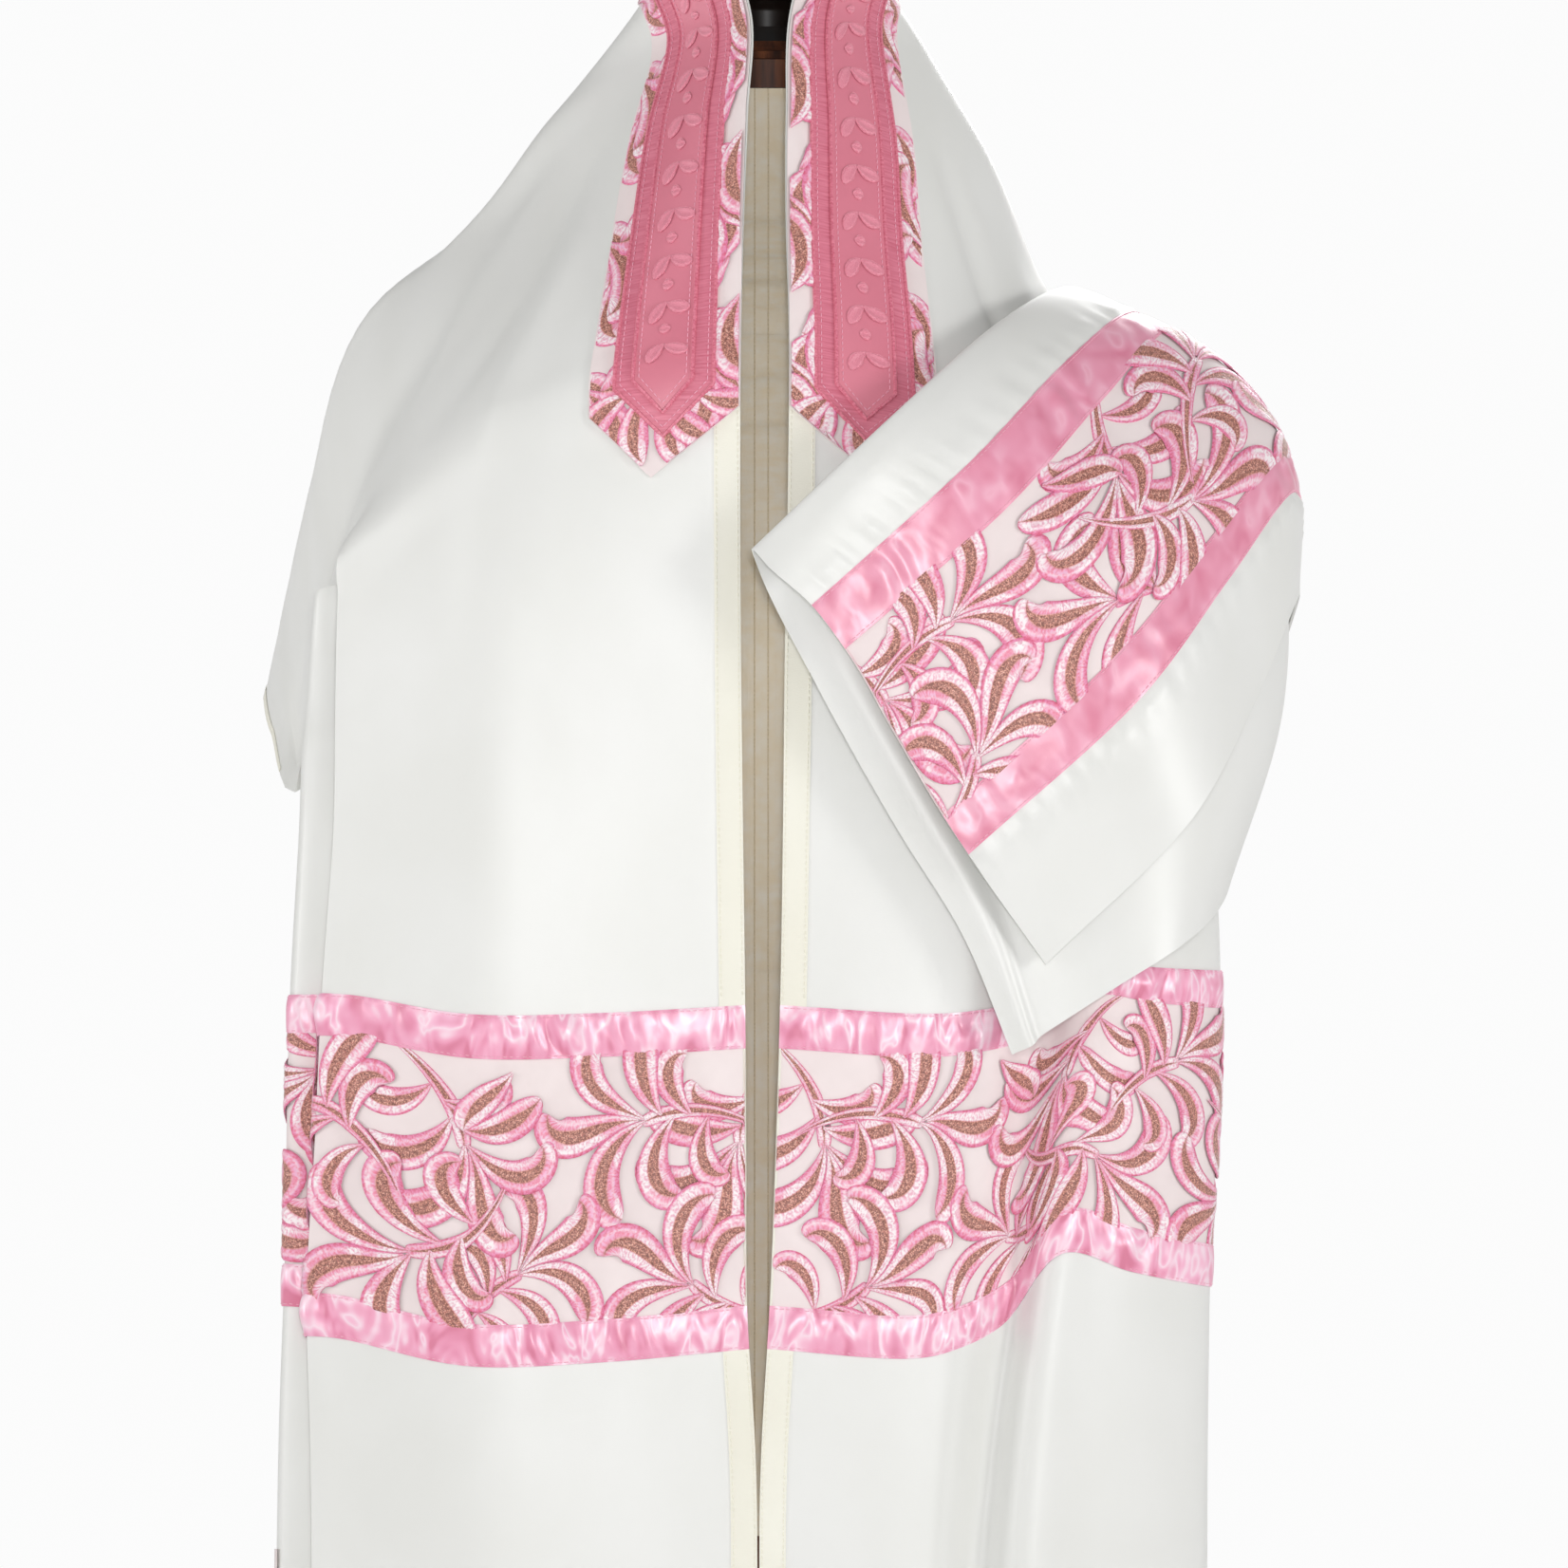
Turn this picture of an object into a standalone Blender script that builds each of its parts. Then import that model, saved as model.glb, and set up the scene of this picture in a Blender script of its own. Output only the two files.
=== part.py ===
"""Tallit prayer shawl worn round the neck of a limbless dress form, with a folded stretch over one shoulder.

Metres, +Z up, the front faces -Y, the origin is at the middle of the base's underside. The shawl is one long
cloth. A place on it is (run, width): run is measured along it from the nape, negative to the viewer's left, and
width across it from the neck edge. Each rib is a line straight across the cloth at one run, and the wall goes
through the ribs. All that lies on the cloth is made from the same places, moved out.
"""

import math

import bmesh
import bpy
import numpy as np

# ---------------------------------------------------------------- driving dimensions
SHAWL_LENGTH = 1.93
SHAWL_WIDTH = 0.508
HALF = SHAWL_LENGTH / 2
COLLAR_RUN = 0.14                # from the nape to the top of the front, along the neck edge
COLLAR_FRONT_Z = 1.476           # height of the neck edge at the top of the front
CLOTH = 0.0012                   # wall of the cloth
TRIM = 0.0008                    # wall of ribbons, bindings and patches
SEAM = 0.0003                    # clearance between pieces
TRIM_LIFT = 0.0004               # clearance under what lies on the cloth
BAND_LIFT = 0.0008               # clearance under the stiffer neckband and the outer binding

UPPER_RIBBON = (0.6165, 0.6370)  # runs of its two edges
LOWER_RIBBON = (0.7590, 0.7795)
LACE = (0.6265, 0.7695)          # the lace reaches half way under each ribbon
PATCH = 0.072                    # side of a corner patch
BINDING = 0.0125                 # width of the neck-edge binding
OUTER_BINDING = 0.0065
OUTER_BINDING_ENDS = (-0.275, 0.25)

NECKBAND = 0.072                 # width of the neckband's lace strip
BAND_CORNER_RUN = 0.332          # where the strip's straight sides end
BAND_TIP_RUN = 0.364
BAND_TIP_WIDTH = 0.0425
BORDER = (0.0125, 0.0595)        # widths of the satin border's two sides
BORDER_CORNER_RUN = 0.321
BORDER_TIP_RUN = 0.3445
FIELD = (0.0225, 0.0505)
FIELD_CORNER_RUN = 0.318
FIELD_TIP_RUN = 0.3335
SATIN_TIP_WIDTH = 0.0365

TASSEL_LENGTH = 0.30
TASSEL_HEAD = 0.095
STRANDS = 8

NECK_TOP_Z = 1.440
TORSO_FOOT_Z = 0.745
BASE_RADIUS = 0.155
BASE_HEIGHT = 0.022

# ---------------------------------------------------------------- the shawl's ribs
# Upper ribs: run, then the rib's way points from the neck edge to the outer hem.
UPPER_STATIONS = (0.0, 0.072, 0.14, 0.20, 0.27, 0.36, 0.508)
NAPE_RIB = (
    # edge                 band                   slope                  crest
    (0.000, 0.033, 1.536), (0.000, 0.062, 1.470), (0.000, 0.085, 1.406), (0.000, 0.104, 1.349),
    # arm                  fall                   hem
    (0.000, 0.120, 1.281), (0.000, 0.131, 1.190), (0.000, 0.130, 1.042),
)
LEFT_RIBS = (
    # run   edge                     band                     slope                    crest
    #       arm                      fall                     hem
    (0.035, (-0.0290, 0.0190, 1.539), (-0.0500, 0.050, 1.484), (-0.0870, 0.066, 1.429), (-0.112, 0.082, 1.373),
     (-0.133, 0.100, 1.306), (-0.149, 0.114, 1.213), (-0.162, 0.118, 1.062)),
    (0.070, (-0.0320, -0.0140, 1.530), (-0.0610, 0.022, 1.484), (-0.0950, 0.040, 1.430), (-0.127, 0.056, 1.377),
     (-0.160, 0.074, 1.318), (-0.190, 0.090, 1.238), (-0.214, 0.096, 1.108)),
    (0.105, (-0.0190, -0.0410, 1.508), (-0.0595, 0.004, 1.480), (-0.1030, 0.018, 1.430), (-0.137, 0.028, 1.381),
     (-0.180, 0.036, 1.338), (-0.213, 0.046, 1.266), (-0.239, 0.056, 1.150)),
    (0.140, (-0.0077, -0.0605, 1.476), (-0.0545, -0.009, 1.461), (-0.1030, 0.002, 1.428), (-0.146, 0.008, 1.3735),
     (-0.193, 0.014, 1.3345), (-0.2175, 0.020, 1.264), (-0.2435, 0.024, 1.148)),
    (0.190, (-0.0090, -0.0800, 1.426), (-0.0655, -0.038, 1.414), (-0.1160, -0.016, 1.385), (-0.166, -0.006, 1.3500),
     (-0.206, 0.000, 1.302), (-0.2235, 0.003, 1.236), (-0.2435, 0.002, 1.143)),
    (0.240, (-0.0107, -0.0955, 1.376), (-0.0740, -0.0720, 1.362), (-0.1290, -0.061, 1.332), (-0.175, -0.045, 1.2970),
     (-0.204, -0.032, 1.249), (-0.2200, -0.028, 1.190), (-0.2385, -0.030, 1.128)),
    (0.290, (-0.0117, -0.1100, 1.326), (-0.0815, -0.1020, 1.3125), (-0.1430, -0.0945, 1.282), (-0.189, -0.077, 1.2400),
     (-0.2085, -0.063, 1.196), (-0.2175, -0.058, 1.156), (-0.2235, -0.062, 1.102)),
)
RIGHT_RIBS = (
    (0.035, (0.0290, 0.0190, 1.539), (0.0490, 0.050, 1.484), (0.0830, 0.066, 1.426), (0.105, 0.082, 1.3690),
     (0.124, 0.100, 1.302), (0.140, 0.116, 1.210), (0.152, 0.120, 1.058)),
    (0.070, (0.0320, -0.0140, 1.530), (0.0620, 0.022, 1.484), (0.0890, 0.038, 1.426), (0.113, 0.054, 1.3700),
     (0.142, 0.074, 1.312), (0.172, 0.094, 1.235), (0.192, 0.100, 1.100)),
    (0.105, (0.0210, -0.0410, 1.508), (0.0640, 0.003, 1.481), (0.0960, 0.016, 1.427), (0.1210, 0.026, 1.3670),
     (0.1490, 0.034, 1.3190), (0.186, 0.044, 1.260), (0.2080, 0.056, 1.110)),
    (0.140, (0.0117, -0.0605, 1.476), (0.0625, -0.012, 1.464), (0.1045, 0.001, 1.4155), (0.1325, 0.006, 1.3510),
     (0.1570, 0.011, 1.3140), (0.1910, 0.020, 1.258), (0.2120, 0.028, 1.112)),
    (0.190, (0.0097, -0.0800, 1.426), (0.0705, -0.044, 1.4100), (0.1130, -0.026, 1.369), (0.1400, -0.019, 1.3280),
     (0.1720, -0.012, 1.2930), (0.1980, -0.008, 1.226), (0.2140, 0.002, 1.109)),
    (0.240, (0.0095, -0.0965, 1.376), (0.0745, -0.0710, 1.358), (0.1170, -0.063, 1.320), (0.150, -0.068, 1.2890),
     (0.181, -0.055, 1.240), (0.2045, -0.036, 1.182), (0.2125, -0.014, 1.106)),
    (0.290, (0.0108, -0.1100, 1.326), (0.0800, -0.0975, 1.308), (0.1340, -0.089, 1.276), (0.172, -0.080, 1.2380),
     (0.200, -0.066, 1.192), (0.2110, -0.036, 1.150), (0.2085, -0.012, 1.104)),
    (0.370, (0.0104, -0.1240, 1.246), (0.0840, -0.1240, 1.236), (0.1420, -0.114, 1.206), (0.182, -0.096, 1.1720),
     (0.207, -0.064, 1.165), (0.2095, -0.026, 1.130), (0.2050, 0.014, 1.100)),
    (0.450, (0.0090, -0.1280, 1.166), (0.0840, -0.1320, 1.160), (0.1480, -0.123, 1.148), (0.190, -0.103, 1.1350),
     (0.2105, -0.066, 1.120), (0.2090, -0.014, 1.108), (0.2015, 0.040, 1.093)),
)

# Left front, by run: x of the neck edge, x of the outer fold, depth of the pleat tucked behind it, x of the
# strip that shows beside the fold, and how far the outer fold, the pleat's strip and the hem stand below the
# neck edge's height; sag is the dip at mid-panel.
LEFT_FRONT = (
    # run     edge_x   fold_x   tuck   strip_x  fold_drop strip_drop hem_drop sag
    (0.315, -0.0120, -0.2034, 0.012, -0.2158, 0.085, 0.108, 0.172, 0.000),
    (0.350, -0.0122, -0.2046, 0.036, -0.2176, 0.074, 0.096, 0.148, 0.001),
    (0.390, -0.0122, -0.2052, 0.055, -0.2190, 0.057, 0.079, 0.120, 0.002),
    (0.460, -0.0118, -0.2055, 0.085, -0.2212, 0.024, 0.038, 0.060, 0.004),
    (0.530, -0.0110, -0.2060, 0.100, -0.2222, 0.002, 0.004, 0.012, 0.005),
    (0.6165, -0.0099, -0.2115, 0.108, -0.2264, -0.005, -0.004, 0.000, 0.006),
    (0.690, -0.0094, -0.2150, 0.110, -0.2280, -0.005, -0.012, -0.010, 0.008),
    (0.759, -0.0090, -0.2187, 0.110, -0.2290, -0.005, -0.018, -0.018, 0.010),
    (0.830, -0.0050, -0.2170, 0.110, -0.2315, -0.004, -0.017, -0.018, 0.007),
    (HALF, -0.0046, -0.2160, 0.110, -0.2336, -0.003, -0.014, -0.016, 0.004),
)
LEFT_STATIONS = (0.0, 0.072, 0.14, 0.188, 0.205, 0.217, 0.26, 0.306, 0.324, 0.38, 0.436, 0.454, 0.508)
LAYER_GAP = 0.0085               # between the pleat's layers
EDGE_Y = -0.130                  # depth of the front panels' neck edges below the chest
WRAP = 0.046                     # how far the left outer edge turns back behind its strip

# Right front, by run: x of the neck edge, place and lift of the valley and of the crest beside it, x and lift of
# the outer fold, and how far the side wraps back.
RIGHT_FRONT = (
    # run    edge_x  valley_x valley_lift crest_x crest_lift outer_x outer_lift wrap
    (0.530, 0.0082, 0.1380, -0.004, 0.1680, -0.006, 0.2130, -0.004, 0.125),
    (0.6165, 0.0068, 0.1300, 0.004, 0.1580, 0.020, 0.2160, 0.0155, 0.130),
    (0.690, 0.0045, 0.1240, 0.010, 0.1510, 0.036, 0.2150, 0.022, 0.132),
    (0.759, 0.0018, 0.1180, 0.014, 0.1440, 0.046, 0.2115, 0.0270, 0.134),
    (0.830, -0.0022, 0.1080, 0.012, 0.1330, 0.040, 0.2100, 0.0260, 0.136),
    (HALF, -0.0026, 0.0940, 0.008, 0.1190, 0.030, 0.2092, 0.0200, 0.138),
)
RIGHT_STATIONS = (0.0, 0.072, 0.105, 0.140, 0.170, 0.210, 0.262, 0.300, 0.360, 0.430, 0.508)

# Soft folds laid over the ribs: where each starts and ends on the cloth, how far it stands out (or sinks in, if
# negative) and its half width, all along its length but fading at its start.
SOFT_FOLDS = (
    # run    width   run     width   height  half_width
    (-0.012, 0.130, -0.030, 0.508, 0.0075, 0.017),
    (-0.036, 0.140, -0.066, 0.508, -0.0065, 0.016),
    (-0.062, 0.200, -0.100, 0.508, 0.0070, 0.017),
    (0.006, 0.130, 0.006, 0.508, -0.0065, 0.016),
    (0.026, 0.130, 0.044, 0.508, 0.0075, 0.017),
    (0.054, 0.170, 0.082, 0.508, -0.0060, 0.016),
    (-0.168, 0.084, -0.262, 0.142, -0.0035, 0.010),
    (-0.162, 0.104, -0.236, 0.170, 0.0035, 0.010),
    (-0.205, 0.084, -0.305, 0.124, 0.0030, 0.010),
    (-0.215, 0.110, -0.270, 0.300, -0.0045, 0.018),
    (0.168, 0.084, 0.250, 0.135, -0.0030, 0.009),
)

EVEN_TO = 0.29                   # run up to which the cloth is spread evenly round the back and shoulders
EVEN_FROM = (0.12, 0.30)         # widths between which it comes to be spread so

# Stations across the cloth that the wall's mesh has, closer at the neckband and at the pleat's folds.
WIDTHS = (0.0, 0.0125, 0.0225, 0.0365, 0.0425, 0.0505, 0.0595, 0.072, 0.105, 0.14, 0.17, 0.195, 0.205, 0.211,
          0.217, 0.26, 0.306, 0.315, 0.324, 0.38, 0.436, 0.446, 0.454, SHAWL_WIDTH - OUTER_BINDING, SHAWL_WIDTH)
MIDDLE_RUNS = (0.0, 0.02, 0.04, 0.06, 0.08, 0.10, 0.12, 0.14, 0.165, 0.19, 0.215, 0.24, 0.27, 0.288, 0.304,
               0.318, 0.332, 0.348, 0.364, 0.40, 0.44, 0.49, 0.55, UPPER_RIBBON[0])
NECKBAND_RUNS = tuple(r for r in MIDDLE_RUNS if r < 0.33)
LACE_RUNS = (UPPER_RIBBON[1], 0.667, 0.698, 0.729, LOWER_RIBBON[0])
END_RUNS = (LOWER_RIBBON[1], 0.830, HALF - PATCH, 0.930, HALF)

# ---------------------------------------------------------------- the folded stretch over the shoulder
# One cloth doubled along its top fold. A row runs from its end on the chest over the shoulder to its tail behind;
# across is measured from the top fold, negative on the under leaf.
LEAF_STATIONS = (0.0, 0.10, 0.16, 0.22, 0.31, 0.44)
LEAF_FOLDS = ((-0.010, 0.014, -0.270, 0.014, 0.0045, 0.009),)     # the under leaf's end is softly rolled
SHOULDER_LEAVES = (
    # across   end                       chest                     front
    #          crest                     blade                     tail
    (-0.270, (0.1161, -0.1490, 0.9765), (0.1620, -0.1450, 1.0060), (0.1970, -0.1300, 1.0280),
     (0.2180, -0.0900, 1.0480), (0.2270, 0.0050, 1.0850), (0.2120, 0.0900, 1.0500)),
    (-0.207, (0.0925, -0.1500, 1.0335), (0.1545, -0.1460, 1.0800), (0.2100, -0.1150, 1.1140),
     (0.2470, -0.0510, 1.1385), (0.2440, 0.0350, 1.1470), (0.2200, 0.1020, 1.0700)),
    (-0.150, (0.0627, -0.1490, 1.0818), (0.1360, -0.1445, 1.1440), (0.2020, -0.1060, 1.1850),
     (0.2465, -0.0300, 1.2150), (0.2445, 0.0500, 1.2000), (0.2220, 0.1140, 1.0980)),
    (-0.070, (0.0236, -0.1470, 1.1517), (0.0945, -0.1460, 1.2190), (0.1560, -0.1060, 1.2715),
     (0.1980, -0.0200, 1.3060), (0.2080, 0.0660, 1.2730), (0.2020, 0.1260, 1.1440)),
    (-0.012, (-0.0035, -0.1440, 1.2060), (0.0610, -0.1430, 1.2700), (0.1090, -0.0960, 1.3180),
     (0.1450, -0.0080, 1.3400), (0.1532, 0.0757, 1.3150), (0.1530, 0.1258, 1.1900)),
    (0.000, (-0.0063, -0.1490, 1.2150), (0.0600, -0.1480, 1.2780), (0.1110, -0.0985, 1.3240),
     (0.1480, -0.0100, 1.3450), (0.1575, 0.0815, 1.3215), (0.1565, 0.1335, 1.1910)),
    (0.012, (0.0010, -0.1540, 1.2070), (0.0680, -0.1520, 1.2725), (0.1190, -0.1000, 1.3200),
     (0.1560, -0.0140, 1.3430), (0.1690, 0.0840, 1.3180), (0.1680, 0.1380, 1.1870)),
    (0.0385, (0.0216, -0.1570, 1.1885), (0.0954, -0.1500, 1.2555), (0.1420, -0.0960, 1.3050),
     (0.1770, -0.0180, 1.3320), (0.1910, 0.0800, 1.3020), (0.1890, 0.1350, 1.1760)),
    (0.0620, (0.0374, -0.1590, 1.1678), (0.1120, -0.1500, 1.2330), (0.1600, -0.0960, 1.2870),
     (0.1960, -0.0220, 1.3235), (0.2110, 0.0740, 1.2880), (0.2040, 0.1320, 1.1640)),
    (0.110, (0.0600, -0.1600, 1.1290), (0.1420, -0.1480, 1.2010), (0.1910, -0.0970, 1.2560),
     (0.2300, -0.0260, 1.2960), (0.2400, 0.0660, 1.2600), (0.2210, 0.1240, 1.1430)),
    (0.154, (0.0833, -0.1610, 1.0895), (0.1640, -0.1470, 1.1640), (0.2110, -0.0990, 1.2210),
     (0.2490, -0.0300, 1.2640), (0.2550, 0.0580, 1.2280), (0.2280, 0.1180, 1.1240)),
    (0.176, (0.0954, -0.1610, 1.0710), (0.1760, -0.1460, 1.1440), (0.2195, -0.0990, 1.2010),
     (0.2540, -0.0340, 1.2450), (0.2570, 0.0520, 1.2080), (0.2290, 0.1130, 1.1150)),
    (0.240, (0.1319, -0.1570, 1.0193), (0.2000, -0.1430, 1.0860), (0.2330, -0.0990, 1.1440),
     (0.2565, -0.0400, 1.1950), (0.2525, 0.0380, 1.1700), (0.2285, 0.0980, 1.0960)),
)
LEAF_ALONG = (0.0, 0.014, 0.03, 0.065, 0.10, 0.14, 0.18, 0.22, 0.265, 0.31, 0.37, 0.44)
LEAF_RIBBONS = ((0.0385, 0.0620), (0.154, 0.176))
UNDER_ACROSS = (-0.270, -0.235, -0.200, -0.150, -0.110, -0.070, -0.035, -0.012, -0.006, 0.0, 0.006, 0.012, 0.0385)
FREE_ACROSS = (0.176, 0.208, 0.240)

# ---------------------------------------------------------------- the dress form
TORSO = (
    # height   half_width half_depth centre_y
    (NECK_TOP_Z, 0.0465, 0.0465, 0.004),
    (1.400, 0.0480, 0.0480, 0.004),
    (1.376, 0.0540, 0.0530, 0.004),
    (1.358, 0.0720, 0.0600, 0.003),
    (1.346, 0.0960, 0.0650, 0.002),
    (1.333, 0.1230, 0.0700, 0.002),
    (1.317, 0.1470, 0.0745, 0.002),
    (1.299, 0.1652, 0.0790, 0.002),
    (1.276, 0.1770, 0.0855, 0.002),
    (1.235, 0.1820, 0.0950, 0.000),
    (1.165, 0.1720, 0.1040, -0.002),
    (1.085, 0.1500, 0.1010, -0.002),
    (1.015, 0.1360, 0.0930, 0.000),
    (0.945, 0.1420, 0.0950, 0.004),
    (0.870, 0.1680, 0.1080, 0.007),
    (0.805, 0.1780, 0.1140, 0.009),
    (0.765, 0.1750, 0.1110, 0.009),
    (TORSO_FOOT_Z, 0.1590, 0.0990, 0.009),
)
TORSO_SIDES = 24
TORSO_SQUARENESS = 2.25          # 2 is an ellipse
NECK_CAP = (
    # height above the neck, radius
    (0.0000, 0.0470),
    (0.0135, 0.0475),
    (0.0145, 0.0420),
    (0.0180, 0.0410),
    (0.0190, 0.0340),
    (0.0235, 0.0320),
)
KNOB = (
    # height above the cap, radius
    (0.0000, 0.0190),
    (0.0080, 0.0145),
    (0.0160, 0.0155),
    (0.0270, 0.0240),
    (0.0400, 0.0285),
    (0.0520, 0.0260),
    (0.0620, 0.0175),
    (0.0670, 0.0070),
)
POLE_RADIUS = 0.0165
POLE_COLLAR = (
    # height above the base, radius
    (0.000, 0.0300),
    (0.010, 0.0290),
    (0.030, 0.0210),
    (0.038, POLE_RADIUS),
)

COLOURS = {
    # slot: red, green, blue, roughness
    "ivory_satin": (0.80, 0.80, 0.76, 0.45),
    "cream_binding": (0.87, 0.84, 0.72, 0.50),
    "pink_satin": (0.88, 0.34, 0.50, 0.35),
    "rose_satin": (0.66, 0.19, 0.29, 0.40),
    "lace": (0.80, 0.52, 0.56, 0.60),
    "fringe": (0.86, 0.85, 0.80, 0.70),
    "form_linen": (0.55, 0.48, 0.35, 0.80),
    "dark_wood": (0.09, 0.035, 0.018, 0.35),
}


# ---------------------------------------------------------------- curves and sheets
def clear_scene():
    for thing in list(bpy.data.objects):
        bpy.data.objects.remove(thing, do_unlink=True)


def rib_spans(way_points, steps=16):
    """The smooth curve through the way points, as one dense run of points for each span between two of them."""
    points = np.array(way_points, float)
    points = np.vstack([2 * points[0] - points[1], points, 2 * points[-1] - points[-2]])
    gaps = np.sqrt(np.linalg.norm(np.diff(points, axis=0), axis=1))
    knots = np.concatenate([[0.0], np.cumsum(gaps)])
    spans = []
    for k in range(1, len(points) - 2):
        u = np.linspace(knots[k], knots[k + 1], steps + 1)[:, None]
        a = [
            (points[j] * (knots[j + 1] - u) + points[j + 1] * (u - knots[j])) / (knots[j + 1] - knots[j])
            for j in (k - 1, k, k + 1)
        ]
        b = [
            (a[j] * (knots[k + 1 + j] - u) + a[j + 1] * (u - knots[k - 1 + j])) / (knots[k + 1 + j] - knots[k - 1 + j])
            for j in (0, 1)
        ]
        spans.append((b[0] * (knots[k + 1] - u) + b[1] * (u - knots[k])) / (knots[k + 1] - knots[k]))
    return spans


def on_rib(way_points, stations, widths):
    """Points of a rib at the given widths; the cloth between two way points is spread evenly along the curve."""
    found = np.zeros((len(widths), 3))
    spans = rib_spans(way_points)
    for k, span in enumerate(spans):
        lengths = np.concatenate([[0.0], np.cumsum(np.linalg.norm(np.diff(span, axis=0), axis=1))])
        low, high = stations[k], stations[k + 1]
        inside = (widths >= low - 1e-9) & (widths <= high + 1e-9)
        share = (widths[inside] - low) / (high - low) * lengths[-1]
        for axis in range(3):
            found[inside, axis] = np.interp(share, lengths, span[:, axis])
    return found


class Sheet:
    """A cloth's middle surface through its ribs: a rib is (run, stations, way points)."""

    def __init__(self, ribs, widest, facing, folds=(), even_to=0.0):
        self.ribs = sorted(ribs, key=lambda rib: rib[0])
        self.folds = folds
        self.even_to = even_to
        self.runs = np.array([rib[0] for rib in self.ribs])
        self.narrowest, self.widest = self.ribs[0][1][0], widest
        self.facing = facing
        if even_to:
            self.measure_feed()

    def measure_feed(self, steps=121, stations=43):
        """Where cloth that is spread evenly from the nape to even_to lies between the ribs, by side and width."""
        runs = np.linspace(0, self.even_to, steps)
        widths = np.linspace(self.narrowest, self.widest, stations)
        self.fed = {}
        for side in (-1, 1):
            lines = self.smooth(np.tile(side * runs, stations), np.repeat(widths, steps)).reshape(stations, steps, 3)
            pieces = np.linalg.norm(np.diff(lines, axis=1), axis=2)
            lengths = np.concatenate([np.zeros((stations, 1)), np.cumsum(pieces, axis=1)], axis=1)
            lengths *= self.even_to / lengths[:, -1:]
            self.fed[side] = np.array([np.interp(runs, length, runs) for length in lengths])

    def feed(self, runs, widths):
        """The rib run that lies at a run of evenly spread cloth; the neckband's own strip stays as it is."""
        if not self.even_to:
            return runs
        size = np.abs(runs)
        inside = np.minimum(size, self.even_to)
        stations, steps = self.fed[1].shape
        across = (widths - self.narrowest) / (self.widest - self.narrowest) * (stations - 1)
        along = inside / self.even_to * (steps - 1)
        i = np.minimum(across.astype(int), stations - 2)
        j = np.minimum(along.astype(int), steps - 2)
        u, v = across - i, along - j
        even = np.zeros(len(runs))
        for side, table in self.fed.items():
            found = (1 - u) * ((1 - v) * table[i, j] + v * table[i, j + 1])
            found += u * ((1 - v) * table[i + 1, j] + v * table[i + 1, j + 1])
            even = np.where(np.sign(runs) == side, found, even)
        share = np.clip((widths - EVEN_FROM[0]) / (EVEN_FROM[1] - EVEN_FROM[0]), 0, 1)
        share = share * share * (3 - 2 * share)
        return np.sign(runs) * (inside + share * (even - inside) + size - inside)

    def at(self, runs, widths):
        """Points at matching lists of runs and widths, with the soft folds on them."""
        runs = np.clip(np.asarray(runs, float), self.runs[0], self.runs[-1])
        widths = np.clip(np.asarray(widths, float), self.narrowest, self.widest)
        points = self.smooth(self.feed(runs, widths), widths)
        level = points * (1.0, 1.0, 0.0)
        away = level / np.maximum(np.linalg.norm(level, axis=1), 1e-6)[:, None]
        return points + away * self.fold_height(runs, widths)[:, None]

    def smooth(self, runs, widths):
        """Points at matching lists of rib runs and widths, smooth from rib to rib."""
        on_ribs = np.array([on_rib(points, stations, widths) for _, stations, points in self.ribs])
        steps = np.diff(self.runs)
        slopes = np.diff(on_ribs, axis=0) / steps[:, None, None]
        bends = np.empty_like(on_ribs)
        bends[0], bends[-1] = slopes[0], slopes[-1]
        before, after = steps[:-1, None, None], steps[1:, None, None]
        bends[1:-1] = (slopes[:-1] * after + slopes[1:] * before) / (before + after)
        k = np.clip(np.searchsorted(self.runs, runs, side="right") - 1, 0, len(steps) - 1)
        column = np.arange(len(runs))
        h = steps[k][:, None]
        u = ((runs - self.runs[k]) / steps[k])[:, None]
        return (
            (2 * u**3 - 3 * u**2 + 1) * on_ribs[k, column]
            + (u**3 - 2 * u**2 + u) * h * bends[k, column]
            + (3 * u**2 - 2 * u**3) * on_ribs[k + 1, column]
            + (u**3 - u**2) * h * bends[k + 1, column]
        )

    def fold_height(self, runs, widths):
        """How far the soft folds stand out of the smooth surface."""
        total = np.zeros(len(runs))
        for run_a, width_a, run_b, width_b, height, half_width in self.folds:
            axis = np.array((run_b - run_a, width_b - width_a))
            length = np.linalg.norm(axis)
            axis /= length
            along = (runs - run_a) * axis[0] + (widths - width_a) * axis[1]
            off = (runs - run_a) * axis[1] - (widths - width_a) * axis[0]
            grow = np.clip(along / (0.5 * length), 0, 1)
            fade = np.clip((1.35 * length - along) / (0.35 * length), 0, 1)
            total += height * np.exp(-((off / half_width) ** 2)) * (3 * grow**2 - 2 * grow**3) * fade
        return total

    def out(self, runs, widths, step=0.0015):
        """Unit directions that point away from the wearer."""
        runs, widths = np.asarray(runs, float), np.asarray(widths, float)
        along = self.at(runs + step, widths) - self.at(runs - step, widths)
        across = self.at(runs, widths + step) - self.at(runs, widths - step)
        normal = np.cross(along, across) * self.facing
        return normal / np.linalg.norm(normal, axis=1)[:, None]


def add_object(name, points, faces, slot):
    mesh = bpy.data.meshes.new(name)
    mesh.from_pydata([tuple(p) for p in points], [], faces)
    mesh.validate()
    shaped = bmesh.new()
    shaped.from_mesh(mesh)
    bmesh.ops.recalc_face_normals(shaped, faces=shaped.faces)
    if shaped.calc_volume(signed=True) < 0:
        bmesh.ops.reverse_faces(shaped, faces=shaped.faces)
    shaped.to_mesh(mesh)
    shaped.free()
    mesh.shade_smooth()
    mesh.set_sharp_from_angle(angle=math.radians(40))
    thing = bpy.data.objects.new(name, mesh)
    bpy.context.scene.collection.objects.link(thing)
    mesh.materials.append(material(slot))
    return thing


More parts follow.
